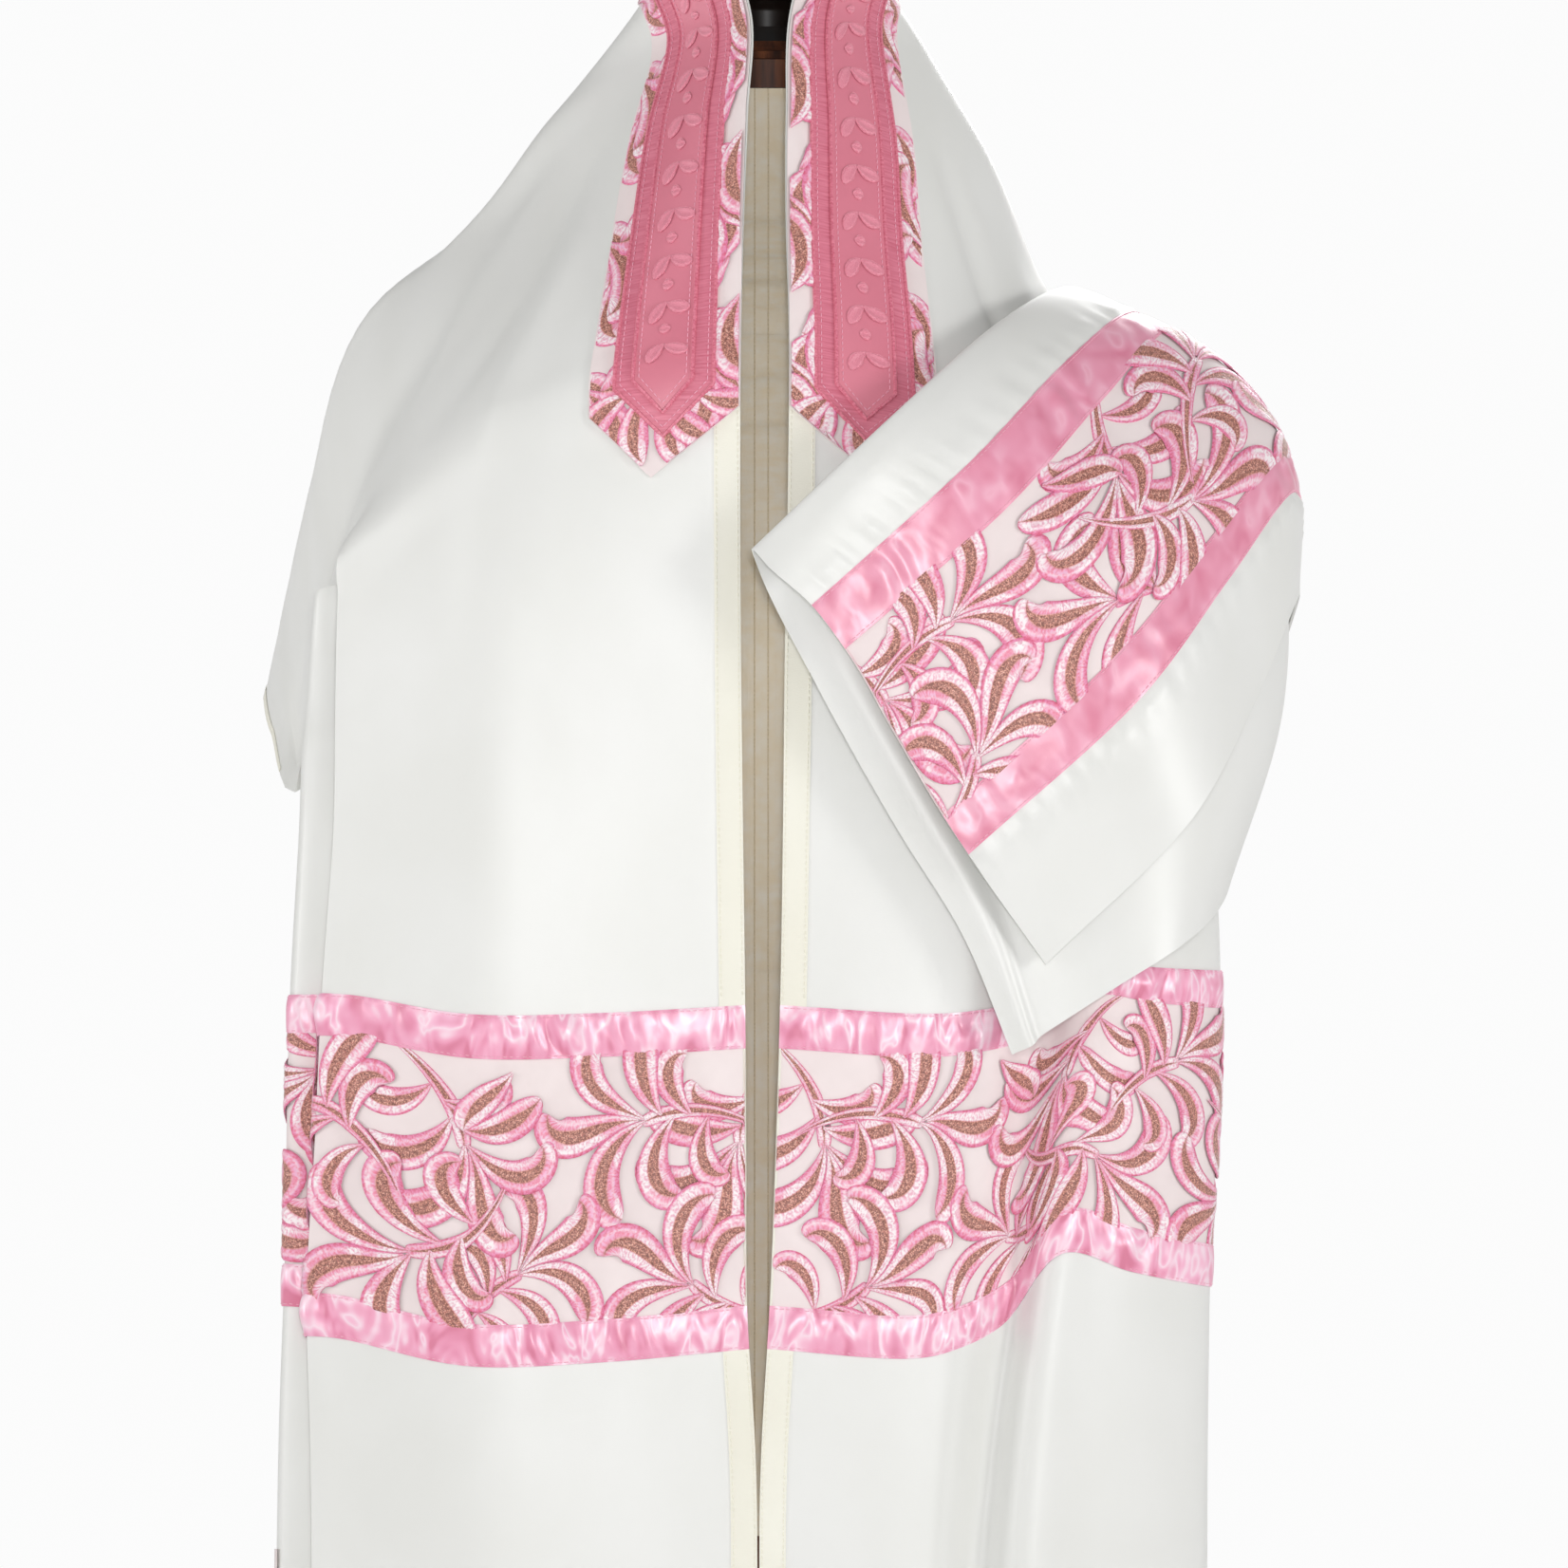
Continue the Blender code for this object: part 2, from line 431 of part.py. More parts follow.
def material(slot):
    found = bpy.data.materials.get(slot)
    if found:
        return found
    made = bpy.data.materials.new(slot)
    made.use_nodes = True
    shader = made.node_tree.nodes["Principled BSDF"]
    red, green, blue, roughness = COLOURS[slot]
    shader.inputs["Base Color"].default_value = (red, green, blue, 1.0)
    shader.inputs["Roughness"].default_value = roughness
    shader.inputs["Metallic"].default_value = 0.0
    return made


def wall(name, sheet, runs, widths, low, high, slot):
    """A closed wall over a grid of places (rows of runs and widths), from low to high beyond the middle surface.

    Rows go in rising run, and each quad is halved the same way, so that walls and rims that face each other match.
    """
    runs, widths = np.array(runs, float), np.array(widths, float)
    if runs[0, 0] > runs[-1, 0]:
        runs, widths = runs[::-1], widths[::-1]
    rows, columns = runs.shape
    middle = sheet.at(runs.ravel(), widths.ravel())
    out = sheet.out(runs.ravel(), widths.ravel())
    points = np.vstack([middle + out * low, middle + out * high])
    layer = rows * columns
    faces = []
    for i in range(rows - 1):
        for j in range(columns - 1):
            a, b = i * columns + j, i * columns + j + 1
            c, d = b + columns, a + columns
            faces += [(a, b, c), (a, c, d), (layer + a, layer + c, layer + b), (layer + a, layer + d, layer + c)]
    last = (rows - 1) * columns
    for j in range(columns - 1):
        for a, turn in ((j, 1), (last + j, -1)):
            faces += [(a, layer + a, layer + a + 1)[::turn], (a, layer + a + 1, a + 1)[::turn]]
    for i in range(rows - 1):
        for a, turn in ((i * columns, -1), (i * columns + columns - 1, 1)):
            b = a + columns
            faces += [(a, layer + a, layer + b)[::turn], (a, layer + b, b)[::turn]]
    return add_object(name, points, faces, slot)


def grid(runs, widths):
    """Rows of runs and widths for a plain stretch of the cloth."""
    return np.meshgrid(runs, widths, indexing="ij")


def turned(name, profile, floor_z, sides, slot, centre=(0.0, 0.0)):
    """A turned solid from (height, radius) rows."""
    points, faces = [], []
    for height, radius in profile:
        for k in range(sides):
            turn = 2 * math.pi * k / sides
            points.append((centre[0] + radius * math.cos(turn), centre[1] + radius * math.sin(turn), floor_z + height))
    for i in range(len(profile) - 1):
        for k in range(sides):
            a, b = i * sides + k, i * sides + (k + 1) % sides
            faces.append((a, b, b + sides, a + sides))
    faces.append(tuple(range(sides - 1, -1, -1)))
    faces.append(tuple((len(profile) - 1) * sides + k for k in range(sides)))
    return add_object(name, points, faces, slot)


# ---------------------------------------------------------------- the shawl
def edge_height(run):
    return COLLAR_FRONT_Z - (run - COLLAR_RUN)


def left_front_rib(run, edge_x, fold_x, tuck, strip_x, fold_drop, strip_drop, hem_drop, sag):
    """A rib of the left front: panel, outer fold, pleat tucked behind it, the strip's fold and the turned-back hem."""
    top = edge_height(run)
    low = min(1.0, max(0.0, (run - 0.30) / 0.25))
    edge_y = -0.118 + (EDGE_Y + 0.118) * low
    fold_y = -0.086 - 0.022 * low
    strip_y = fold_y + 2 * LAYER_GAP + 0.002
    inner_x = fold_x + tuck
    return (
        run,
        LEFT_STATIONS,
        (
            (edge_x, edge_y, top),
            (edge_x - 0.072, edge_y + 0.010 * (1 - low) ** 4 - 0.004 * low, top - 0.08 * fold_drop - 0.7 * sag),
            (edge_x - 0.072 + 0.45 * (fold_x + 0.072 - edge_x), edge_y + 0.018 * (1 - low) ** 4 - 0.004 * low,
             top - 0.36 * fold_drop - sag),
            (fold_x + 0.016, fold_y - 0.005, top - 0.85 * fold_drop),
            (fold_x, fold_y + 0.001, top - fold_drop),
            (fold_x + 0.004, fold_y + LAYER_GAP, top - fold_drop - 0.002),
            (fold_x + 0.5 * tuck, fold_y + LAYER_GAP - 0.05 * tuck, top - 0.7 * fold_drop - 0.3 * strip_drop),
            (inner_x, fold_y + LAYER_GAP - 0.09 * tuck, top - 0.5 * fold_drop - 0.5 * strip_drop),
            (inner_x, fold_y + 2 * LAYER_GAP - 0.09 * tuck, top - 0.5 * fold_drop - 0.5 * strip_drop),
            (0.5 * (inner_x + strip_x), strip_y - 0.04 * tuck - 0.002, top - 0.25 * fold_drop - 0.75 * strip_drop),
            (strip_x, strip_y, top - strip_drop),
            (strip_x + 0.002, strip_y + 0.012, top - strip_drop - 0.001),
            (strip_x + 0.012, strip_y + 0.012 + WRAP, top - hem_drop),
        ),
    )


def right_front_rib(run, edge_x, valley_x, valley_lift, crest_x, crest_lift, outer_x, outer_lift, wrap):
    """A rib of the right front: panel, valley, crest, outer fold and the side that wraps back in one soft wave."""
    top = edge_height(run)
    return (
        run,
        RIGHT_STATIONS,
        (
            (edge_x, EDGE_Y, top),
            (edge_x + 0.072, EDGE_Y - 0.006, top - 0.004),
            (0.4 * (edge_x + 0.072) + 0.6 * valley_x - 0.006, EDGE_Y - 0.005, top + 0.3 * valley_lift - 0.003),
            (valley_x, EDGE_Y + 0.012, top + valley_lift),
            (crest_x, EDGE_Y - 0.002, top + crest_lift),
            (crest_x + 0.45 * (outer_x - crest_x), EDGE_Y + 0.010, top + 0.5 * crest_lift + 0.5 * outer_lift),
            (outer_x, EDGE_Y + 0.050, top + outer_lift),
            (outer_x - 0.002, EDGE_Y + 0.080, top + outer_lift),
            (outer_x - 0.012, EDGE_Y + 0.060 + 0.45 * wrap, top + 0.9 * outer_lift),
            (outer_x - 0.006, EDGE_Y + 0.060 + 0.75 * wrap, top + 0.8 * outer_lift),
            (outer_x - 0.018, EDGE_Y + 0.062 + wrap, top + 0.7 * outer_lift),
        ),
    )


def shawl_sheet():
    ribs = [(0.0, UPPER_STATIONS, NAPE_RIB)]
    ribs += [(-run, UPPER_STATIONS, points) for run, *points in LEFT_RIBS]
    ribs += [(run, UPPER_STATIONS, points) for run, *points in RIGHT_RIBS]
    for row in LEFT_FRONT:
        run, stations, points = left_front_rib(*row)
        ribs.append((-run, stations, points))
    ribs += [right_front_rib(*row) for row in RIGHT_FRONT]
    return Sheet(ribs, SHAWL_WIDTH, facing=1, folds=SOFT_FOLDS, even_to=EVEN_TO)


def both_ways(runs):
    return tuple(-r for r in reversed(runs) if r) + tuple(runs)


def shawl(sheet):
    half_wall = CLOTH / 2
    middle = both_ways(MIDDLE_RUNS + (LACE[0] - SEAM / 2,))
    wall("middle_cloth", sheet, *grid(middle, WIDTHS), -half_wall, half_wall, "ivory_satin")
    lace = (LACE[0] + SEAM / 2,) + LACE_RUNS + (LACE[1] - SEAM / 2,)
    end = (LACE[1] + SEAM / 2,) + END_RUNS
    for side, name in ((-1, "left"), (1, "right")):
        wall(f"lace_band_{name}", sheet, *grid([side * r for r in lace], WIDTHS), -half_wall, half_wall, "lace")
        wall(f"end_cloth_{name}", sheet, *grid([side * r for r in end], WIDTHS), -half_wall, half_wall, "ivory_satin")
        trims(sheet, side, name)


def trims(sheet, side, name):
    """Ribbons, neck-edge bindings and corner patches on one end of the shawl."""
    low = CLOTH / 2 + TRIM_LIFT
    high = low + TRIM
    for place, (first, last), seam in (("upper", UPPER_RIBBON, LACE[0]), ("lower", LOWER_RIBBON, LACE[1])):
        rows = [side * r for r in (first, seam, last)]
        wall(f"ribbon_{place}_{name}", sheet, *grid(rows, WIDTHS), low, high, "pink_satin")
    edge = (0.0, BINDING)
    above = [side * r for r in tuple(r for r in MIDDLE_RUNS if 0.36 < r < 0.61) + (UPPER_RIBBON[0] - SEAM,)]
    below = [side * r for r in (LOWER_RIBBON[1] + SEAM, 0.830, HALF - PATCH - SEAM)]
    wall(f"binding_upper_{name}", sheet, *grid(above, edge), low, high, "cream_binding")
    wall(f"binding_lower_{name}", sheet, *grid(below, edge), low, high, "cream_binding")
    corner = [side * r for r in (HALF - PATCH, 0.930, HALF)]
    inner = [w for w in WIDTHS if w <= PATCH]
    outer = [w for w in WIDTHS if w >= SHAWL_WIDTH - PATCH]
    wall(f"patch_inner_{name}", sheet, *grid(corner, inner), low, high, "lace")
    wall(f"patch_outer_{name}", sheet, *grid(corner, outer), low, high, "lace")


def outer_binding(sheet):
    """The narrow strip along the middle cloth's outer edge, over the sides and the back."""
    low = CLOTH / 2 + BAND_LIFT
    rows = tuple(r for r in both_ways(MIDDLE_RUNS) if OUTER_BINDING_ENDS[0] <= r <= OUTER_BINDING_ENDS[1])
    edge = (SHAWL_WIDTH - OUTER_BINDING, SHAWL_WIDTH)
    wall("outer_hem_binding", sheet, *grid(rows, edge), low, low + TRIM, "cream_binding")


def pointed(runs, sides, corner_run, tip_run, tip_width):
    """Rows of places for a band whose two ends come to a point."""
    widths = [w for w in WIDTHS if sides[0] <= w <= sides[1]]
    left_slope = (tip_run - corner_run) / (tip_width - sides[0])
    right_slope = (tip_run - corner_run) / (sides[1] - tip_width)
    end = [tip_run - max(left_slope * (tip_width - w), right_slope * (w - tip_width)) for w in widths]
    runs = [r for r in runs if r < corner_run - 0.010]
    half_way = [0.5 * (runs[-1] + e) for e in end]
    rows = [[r] * len(widths) for r in runs] + [half_way, end]
    rows = [[-r for r in row] for row in reversed(rows) if row[0]] + rows
    return rows, [widths] * len(rows)


def neckband(sheet):
    """The lace strip round the neck, the satin border on it and the satin field on the border."""
    low = CLOTH / 2 + BAND_LIFT
    layers = (
        ("neckband_lace", (0.0, NECKBAND), BAND_CORNER_RUN, BAND_TIP_RUN, BAND_TIP_WIDTH, "lace"),
        ("neckband_border", BORDER, BORDER_CORNER_RUN, BORDER_TIP_RUN, SATIN_TIP_WIDTH, "rose_satin"),
        ("neckband_field", FIELD, FIELD_CORNER_RUN, FIELD_TIP_RUN, SATIN_TIP_WIDTH, "rose_satin"),
    )
    for name, sides, corner_run, tip_run, tip_width, slot in layers:
        rows, widths = pointed(NECKBAND_RUNS, sides, corner_run, tip_run, tip_width)
        wall(name, sheet, rows, widths, low, low + TRIM, slot)
        low += TRIM + 2.5 * TRIM_LIFT


# ---------------------------------------------------------------- corner tassels
def tassel(name, hole, foot_z, sway):
    """Cords that pass through the corner, a wound head with five knots, and eight free strands below it."""
    sides = 8
    rings = 9
    x0, y0 = hole
    head_top = foot_z - 0.004
    points, faces = [], []
    for i in range(rings):
        share = i / (rings - 1)
        knot = 1.0 if i % 2 == 0 else 0.0
        radius = 0.0026 + 0.0014 * knot
        for k in range(sides):
            turn = 2 * math.pi * k / sides
            points.append((x0 + radius * math.cos(turn), y0 + radius * math.sin(turn), head_top - TASSEL_HEAD * share))
    for i in range(rings - 1):
        for k in range(sides):
            a, b = i * sides + k, i * sides + (k + 1) % sides
            faces.append((a, b, b + sides, a + sides))
    faces.append(tuple(range(sides)))
    root = (rings - 1) * sides
    centre = len(points)
    points.append((x0, y0, head_top - TASSEL_HEAD))
    strand_steps = 3
    for k in range(STRANDS):
        a, b = root + k, root + (k + 1) % sides
        ring = (a, b, centre)
        turn = 2 * math.pi * (k + 0.5) / STRANDS
        for step in range(1, strand_steps + 1):
            share = step / strand_steps
            spread = 0.0035 + 0.0105 * share**0.7 + 0.002 * math.sin(2.1 * k) * share
            mid = (
                x0 + spread * math.cos(turn) + sway * share**2,
                y0 + spread * math.sin(turn),
                head_top - TASSEL_HEAD - (TASSEL_LENGTH - TASSEL_HEAD + 0.006 * math.sin(1.7 * k)) * share,
            )
            first = len(points)
            for corner in range(3):
                angle = turn + math.pi + 2 * math.pi * (corner + 0.5) / 3 + math.pi / 3
                points.append((mid[0] + 0.0010 * math.cos(angle), mid[1] + 0.0010 * math.sin(angle), mid[2]))
            near = min(range(3), key=lambda c: math.dist(points[first + c][:2], points[ring[0]][:2]))
            new = tuple(first + (near + c) % 3 for c in range(3))
            for c, d in ((0, 1), (1, 2), (2, 0)):
                faces += [(ring[c], ring[d], new[d]), (ring[c], new[d], new[c])]
            ring = new
        faces.append(ring)
    return add_object(name, points, faces, "fringe")


def tassels(sheet):
    """One tassel close below each of the four corners."""
    for side, place in ((-1, "left"), (1, "right")):
        for width, which in ((0.034, "inner"), (SHAWL_WIDTH - 0.022, "outer")):
            x, y, z = sheet.at([side * HALF], [width])[0]
            tassel(f"tassel_{which}_{place}", (x, y), z + 0.0035, 0.004 * side)


# ---------------------------------------------------------------- the folded stretch
def shoulder_stretch():
    ribs = [(across, LEAF_STATIONS, points) for across, *points in SHOULDER_LEAVES]
    sheet = Sheet(ribs, LEAF_STATIONS[-1], facing=1, folds=LEAF_FOLDS)
    half_wall = CLOTH / 2
    low = half_wall + TRIM_LIFT
    first, second = LEAF_RIBBONS
    joins = (sum(first) / 2, sum(second) / 2)
    stretches = (
        ("shoulder_under_leaf", UNDER_ACROSS + (joins[0] - SEAM / 2,), "ivory_satin"),
        ("shoulder_lace", (joins[0] + SEAM / 2, first[1], 0.085, 0.110, 0.132, second[0], joins[1] - SEAM / 2), "lace"),
        ("shoulder_free_leaf", (joins[1] + SEAM / 2,) + FREE_ACROSS, "ivory_satin"),
    )
    for name, across, slot in stretches:
        wall(name, sheet, *grid(across, LEAF_ALONG), -half_wall, half_wall, slot)
    for name, (start, stop), join in (("shoulder_ribbon_upper", first, joins[0]),
                                      ("shoulder_ribbon_lower", second, joins[1])):
        wall(name, sheet, *grid((start, join, stop), LEAF_ALONG), low, low + TRIM, "pink_satin")


# ---------------------------------------------------------------- the dress form
def torso():
    power = 2 / TORSO_SQUARENESS
    points, faces = [], []
    for height, half_width, half_depth, centre_y in TORSO:
        for k in range(TORSO_SIDES):
            turn = 2 * math.pi * k / TORSO_SIDES
            c, s = math.cos(turn), math.sin(turn)
            points.append((
                half_width * math.copysign(abs(c) ** power, c),
                centre_y + half_depth * math.copysign(abs(s) ** power, s),
                height,
            ))
    for i in range(len(TORSO) - 1):
        for k in range(TORSO_SIDES):
            a, b = i * TORSO_SIDES + k, i * TORSO_SIDES + (k + 1) % TORSO_SIDES
            faces.append((b, a, a + TORSO_SIDES, b + TORSO_SIDES))
    faces.append(tuple(range(TORSO_SIDES)))
    faces.append(tuple((len(TORSO) - 1) * TORSO_SIDES + k for k in range(TORSO_SIDES - 1, -1, -1)))
    return add_object("form_torso", points, faces, "form_linen")


def stand():
    turned("form_neck_cap", NECK_CAP, NECK_TOP_Z + SEAM, 24, "dark_wood", centre=(0.0, 0.004))
    turned("form_knob", KNOB, NECK_TOP_Z + SEAM + NECK_CAP[-1][0] + SEAM, 20, "dark_wood", centre=(0.0, 0.004))
    base = ((0.0, BASE_RADIUS), (0.008, BASE_RADIUS), (0.016, BASE_RADIUS - 0.006), (BASE_HEIGHT, BASE_RADIUS - 0.016))
    turned("form_base", base, 0.0, 40, "dark_wood")
    pole_top = TORSO_FOOT_Z - SEAM - BASE_HEIGHT - SEAM
    pole = POLE_COLLAR + ((pole_top, POLE_RADIUS),)
    turned("form_pole", pole, BASE_HEIGHT + SEAM, 20, "dark_wood")


def main():
    clear_scene()
    sheet = shawl_sheet()
    shawl(sheet)
    outer_binding(sheet)
    neckband(sheet)
    tassels(sheet)
    shoulder_stretch()
    torso()
    stand()


main()
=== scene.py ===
"""Looks of the tallit prayer shawl on its dress form: satin, embroidered lace, ribbons, neckband, tassels, stand.

Metres, +Z up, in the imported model's frame. A place on the shawl is (run, width), as in the part's source: run is
measured along the cloth from the nape, negative to the viewer's left, and width across it from the neck edge. A
place on the folded stretch is (across, along), from its top fold and from its end on the chest. Every piece that
lies on cloth is made from such places, moved out.
"""

import math

import bmesh
import bpy
import numpy as np
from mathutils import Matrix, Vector


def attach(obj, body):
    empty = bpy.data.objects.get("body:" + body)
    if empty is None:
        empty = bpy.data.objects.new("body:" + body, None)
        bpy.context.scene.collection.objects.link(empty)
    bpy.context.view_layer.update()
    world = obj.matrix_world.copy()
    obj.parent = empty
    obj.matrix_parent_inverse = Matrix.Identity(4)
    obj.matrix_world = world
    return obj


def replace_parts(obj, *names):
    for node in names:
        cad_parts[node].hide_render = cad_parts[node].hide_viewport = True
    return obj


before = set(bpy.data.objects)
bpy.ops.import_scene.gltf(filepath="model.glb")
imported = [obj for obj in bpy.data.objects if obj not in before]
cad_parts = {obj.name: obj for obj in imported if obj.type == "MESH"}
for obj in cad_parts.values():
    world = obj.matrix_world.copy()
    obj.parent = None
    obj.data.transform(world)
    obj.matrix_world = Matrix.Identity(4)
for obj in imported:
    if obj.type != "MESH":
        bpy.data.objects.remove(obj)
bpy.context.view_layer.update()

# ---------------------------------------------------------------- sizes shared with the part's source
SHAWL_WIDTH = 0.508
HALF = 0.965                     # from the nape to either end
COLLAR_RUN = 0.14                # from the nape to the top of the front, along the neck edge
COLLAR_FRONT_Z = 1.476
HALF_WALL = 0.0006               # half of the cloth's thickness
UPPER_RIBBON = (0.6165, 0.6370)  # runs of its two edges
LOWER_RIBBON = (0.7590, 0.7795)
LACE = (0.6265, 0.7695)
PATCH = 0.072
BINDING = 0.0125
OUTER_BINDING = 0.0065
OUTER_BINDING_ENDS = (-0.275, 0.25)
NECKBAND = 0.072
# The neckband's layers, each with pointed ends: widths of its sides, run of its corners, run and width of its tip.
BAND_LACE = ((0, NECKBAND), 0.332, 0.364, 0.0425)
BORDER = ((0.0125, 0.0595), 0.321, 0.3445, 0.0365)
FIELD = ((0.0225, 0.0505), 0.318, 0.3335, 0.0365)
TASSEL_LENGTH = 0.30
TASSEL_HEAD = 0.095
TASSEL_WIDTHS = {"inner": 0.034, "outer": SHAWL_WIDTH - 0.022}
NECK_TOP_Z = 1.440
TORSO_FOOT_Z = 0.745
BASE_HEIGHT = 0.022
FORM_Y = 0.004                   # the neck stands this far behind the pole's axis

# ---------------------------------------------------------------- the cloth's ribs, as in the part's source
# Upper ribs: run, then the rib's way points from the neck edge to the outer hem.
UPPER_STATIONS = (0.0, NECKBAND, 0.14, 0.20, 0.27, 0.36, 0.508)
NAPE_RIB = (
    # edge                 band                   slope                  crest
    (0.000, 0.033, 1.536), (0.000, 0.062, 1.470), (0.000, 0.085, 1.406), (0.000, 0.104, 1.349),
    # arm                  fall                   hem
    (0.000, 0.120, 1.281), (0.000, 0.131, 1.190), (0.000, 0.130, 1.042),
)
LEFT_RIBS = (
    # run   edge                     band                     slope                    crest
    #       arm                      fall                     hem
    (0.035, (-0.0290, 0.0190, 1.539), (-0.0500, 0.050, 1.484), (-0.0870, 0.066, 1.429), (-0.112, 0.082, 1.373),
     (-0.133, 0.100, 1.306), (-0.149, 0.114, 1.213), (-0.162, 0.118, 1.062)),
    (0.070, (-0.0320, -0.0140, 1.530), (-0.0610, 0.022, 1.484), (-0.0950, 0.040, 1.430), (-0.127, 0.056, 1.377),
     (-0.160, 0.074, 1.318), (-0.190, 0.090, 1.238), (-0.214, 0.096, 1.108)),
    (0.105, (-0.0190, -0.0410, 1.508), (-0.0595, 0.004, 1.480), (-0.1030, 0.018, 1.430), (-0.137, 0.028, 1.381),
     (-0.180, 0.036, 1.338), (-0.213, 0.046, 1.266), (-0.239, 0.056, 1.150)),
    (0.140, (-0.0077, -0.0605, 1.476), (-0.0545, -0.009, 1.461), (-0.1030, 0.002, 1.428), (-0.146, 0.008, 1.3735),
     (-0.193, 0.014, 1.3345), (-0.2175, 0.020, 1.264), (-0.2435, 0.024, 1.148)),
    (0.190, (-0.0090, -0.0800, 1.426), (-0.0655, -0.038, 1.414), (-0.1160, -0.016, 1.385), (-0.166, -0.006, 1.3500),
     (-0.206, 0.000, 1.302), (-0.2235, 0.003, 1.236), (-0.2435, 0.002, 1.143)),
    (0.240, (-0.0107, -0.0955, 1.376), (-0.0740, -0.0720, 1.362), (-0.1290, -0.061, 1.332), (-0.175, -0.045, 1.2970),
     (-0.204, -0.032, 1.249), (-0.2200, -0.028, 1.190), (-0.2385, -0.030, 1.128)),
    (0.290, (-0.0117, -0.1100, 1.326), (-0.0815, -0.1020, 1.3125), (-0.1430, -0.0945, 1.282), (-0.189, -0.077, 1.2400),
     (-0.2085, -0.063, 1.196), (-0.2175, -0.058, 1.156), (-0.2235, -0.062, 1.102)),
)
RIGHT_RIBS = (
    (0.035, (0.0290, 0.0190, 1.539), (0.0490, 0.050, 1.484), (0.0830, 0.066, 1.426), (0.105, 0.082, 1.3690),
     (0.124, 0.100, 1.302), (0.140, 0.116, 1.210), (0.152, 0.120, 1.058)),
    (0.070, (0.0320, -0.0140, 1.530), (0.0620, 0.022, 1.484), (0.0890, 0.038, 1.426), (0.113, 0.054, 1.3700),
     (0.142, 0.074, 1.312), (0.172, 0.094, 1.235), (0.192, 0.100, 1.100)),
    (0.105, (0.0210, -0.0410, 1.508), (0.0640, 0.003, 1.481), (0.0960, 0.016, 1.427), (0.1210, 0.026, 1.3670),
     (0.1490, 0.034, 1.3190), (0.186, 0.044, 1.260), (0.2080, 0.056, 1.110)),
    (0.140, (0.0117, -0.0605, 1.476), (0.0625, -0.012, 1.464), (0.1045, 0.001, 1.4155), (0.1325, 0.006, 1.3510),
     (0.1570, 0.011, 1.3140), (0.1910, 0.020, 1.258), (0.2120, 0.028, 1.112)),
    (0.190, (0.0097, -0.0800, 1.426), (0.0705, -0.044, 1.4100), (0.1130, -0.026, 1.369), (0.1400, -0.019, 1.3280),
     (0.1720, -0.012, 1.2930), (0.1980, -0.008, 1.226), (0.2140, 0.002, 1.109)),
    (0.240, (0.0095, -0.0965, 1.376), (0.0745, -0.0710, 1.358), (0.1170, -0.063, 1.320), (0.150, -0.068, 1.2890),
     (0.181, -0.055, 1.240), (0.2045, -0.036, 1.182), (0.2125, -0.014, 1.106)),
    (0.290, (0.0108, -0.1100, 1.326), (0.0800, -0.0975, 1.308), (0.1340, -0.089, 1.276), (0.172, -0.080, 1.2380),
     (0.200, -0.066, 1.192), (0.2110, -0.036, 1.150), (0.2085, -0.012, 1.104)),
    (0.370, (0.0104, -0.1240, 1.246), (0.0840, -0.1240, 1.236), (0.1420, -0.114, 1.206), (0.182, -0.096, 1.1720),
     (0.207, -0.064, 1.165), (0.2095, -0.026, 1.130), (0.2050, 0.014, 1.100)),
    (0.450, (0.0090, -0.1280, 1.166), (0.0840, -0.1320, 1.160), (0.1480, -0.123, 1.148), (0.190, -0.103, 1.1350),
     (0.2105, -0.066, 1.120), (0.2090, -0.014, 1.108), (0.2015, 0.040, 1.093)),
)

# Left front, by run: x of the neck edge, x of the outer fold, depth of the pleat tucked behind it, x of the
# strip that shows beside the fold, and how far the outer fold, the pleat's strip and the hem stand below the
# neck edge's height; sag is the dip at mid-panel.
LEFT_FRONT = (
    # run     edge_x   fold_x   tuck   strip_x  fold_drop strip_drop hem_drop sag
    (0.315, -0.0120, -0.2034, 0.012, -0.2158, 0.085, 0.108, 0.172, 0.000),
    (0.350, -0.0122, -0.2046, 0.036, -0.2176, 0.074, 0.096, 0.148, 0.001),
    (0.390, -0.0122, -0.2052, 0.055, -0.2190, 0.057, 0.079, 0.120, 0.002),
    (0.460, -0.0118, -0.2055, 0.085, -0.2212, 0.024, 0.038, 0.060, 0.004),
    (0.530, -0.0110, -0.2060, 0.100, -0.2222, 0.002, 0.004, 0.012, 0.005),
    (0.6165, -0.0099, -0.2115, 0.108, -0.2264, -0.005, -0.004, 0.000, 0.006),
    (0.690, -0.0094, -0.2150, 0.110, -0.2280, -0.005, -0.012, -0.010, 0.008),
    (0.759, -0.0090, -0.2187, 0.110, -0.2290, -0.005, -0.018, -0.018, 0.010),
    (0.830, -0.0050, -0.2170, 0.110, -0.2315, -0.004, -0.017, -0.018, 0.007),
    (HALF, -0.0046, -0.2160, 0.110, -0.2336, -0.003, -0.014, -0.016, 0.004),
)
LEFT_STATIONS = (0.0, NECKBAND, 0.14, 0.188, 0.205, 0.217, 0.26, 0.306, 0.324, 0.38, 0.436, 0.454, 0.508)
LAYER_GAP = 0.0085               # between the pleat's layers
EDGE_Y = -0.130                  # depth of the front panels' neck edges below the chest
CHEST_EDGE_Y = -0.118            # depth of the left one where the outer fold starts, and of that fold
CHEST_FOLD_Y = -0.086
FOLD_FORWARD = 0.022             # how much further forward the fold hangs below
HANG_RUN = 0.30                  # the left front comes to hang straight from this run on, over this much of it
HANG_OVER = 0.25
WRAP = 0.046                     # how far the left outer edge turns back behind its strip

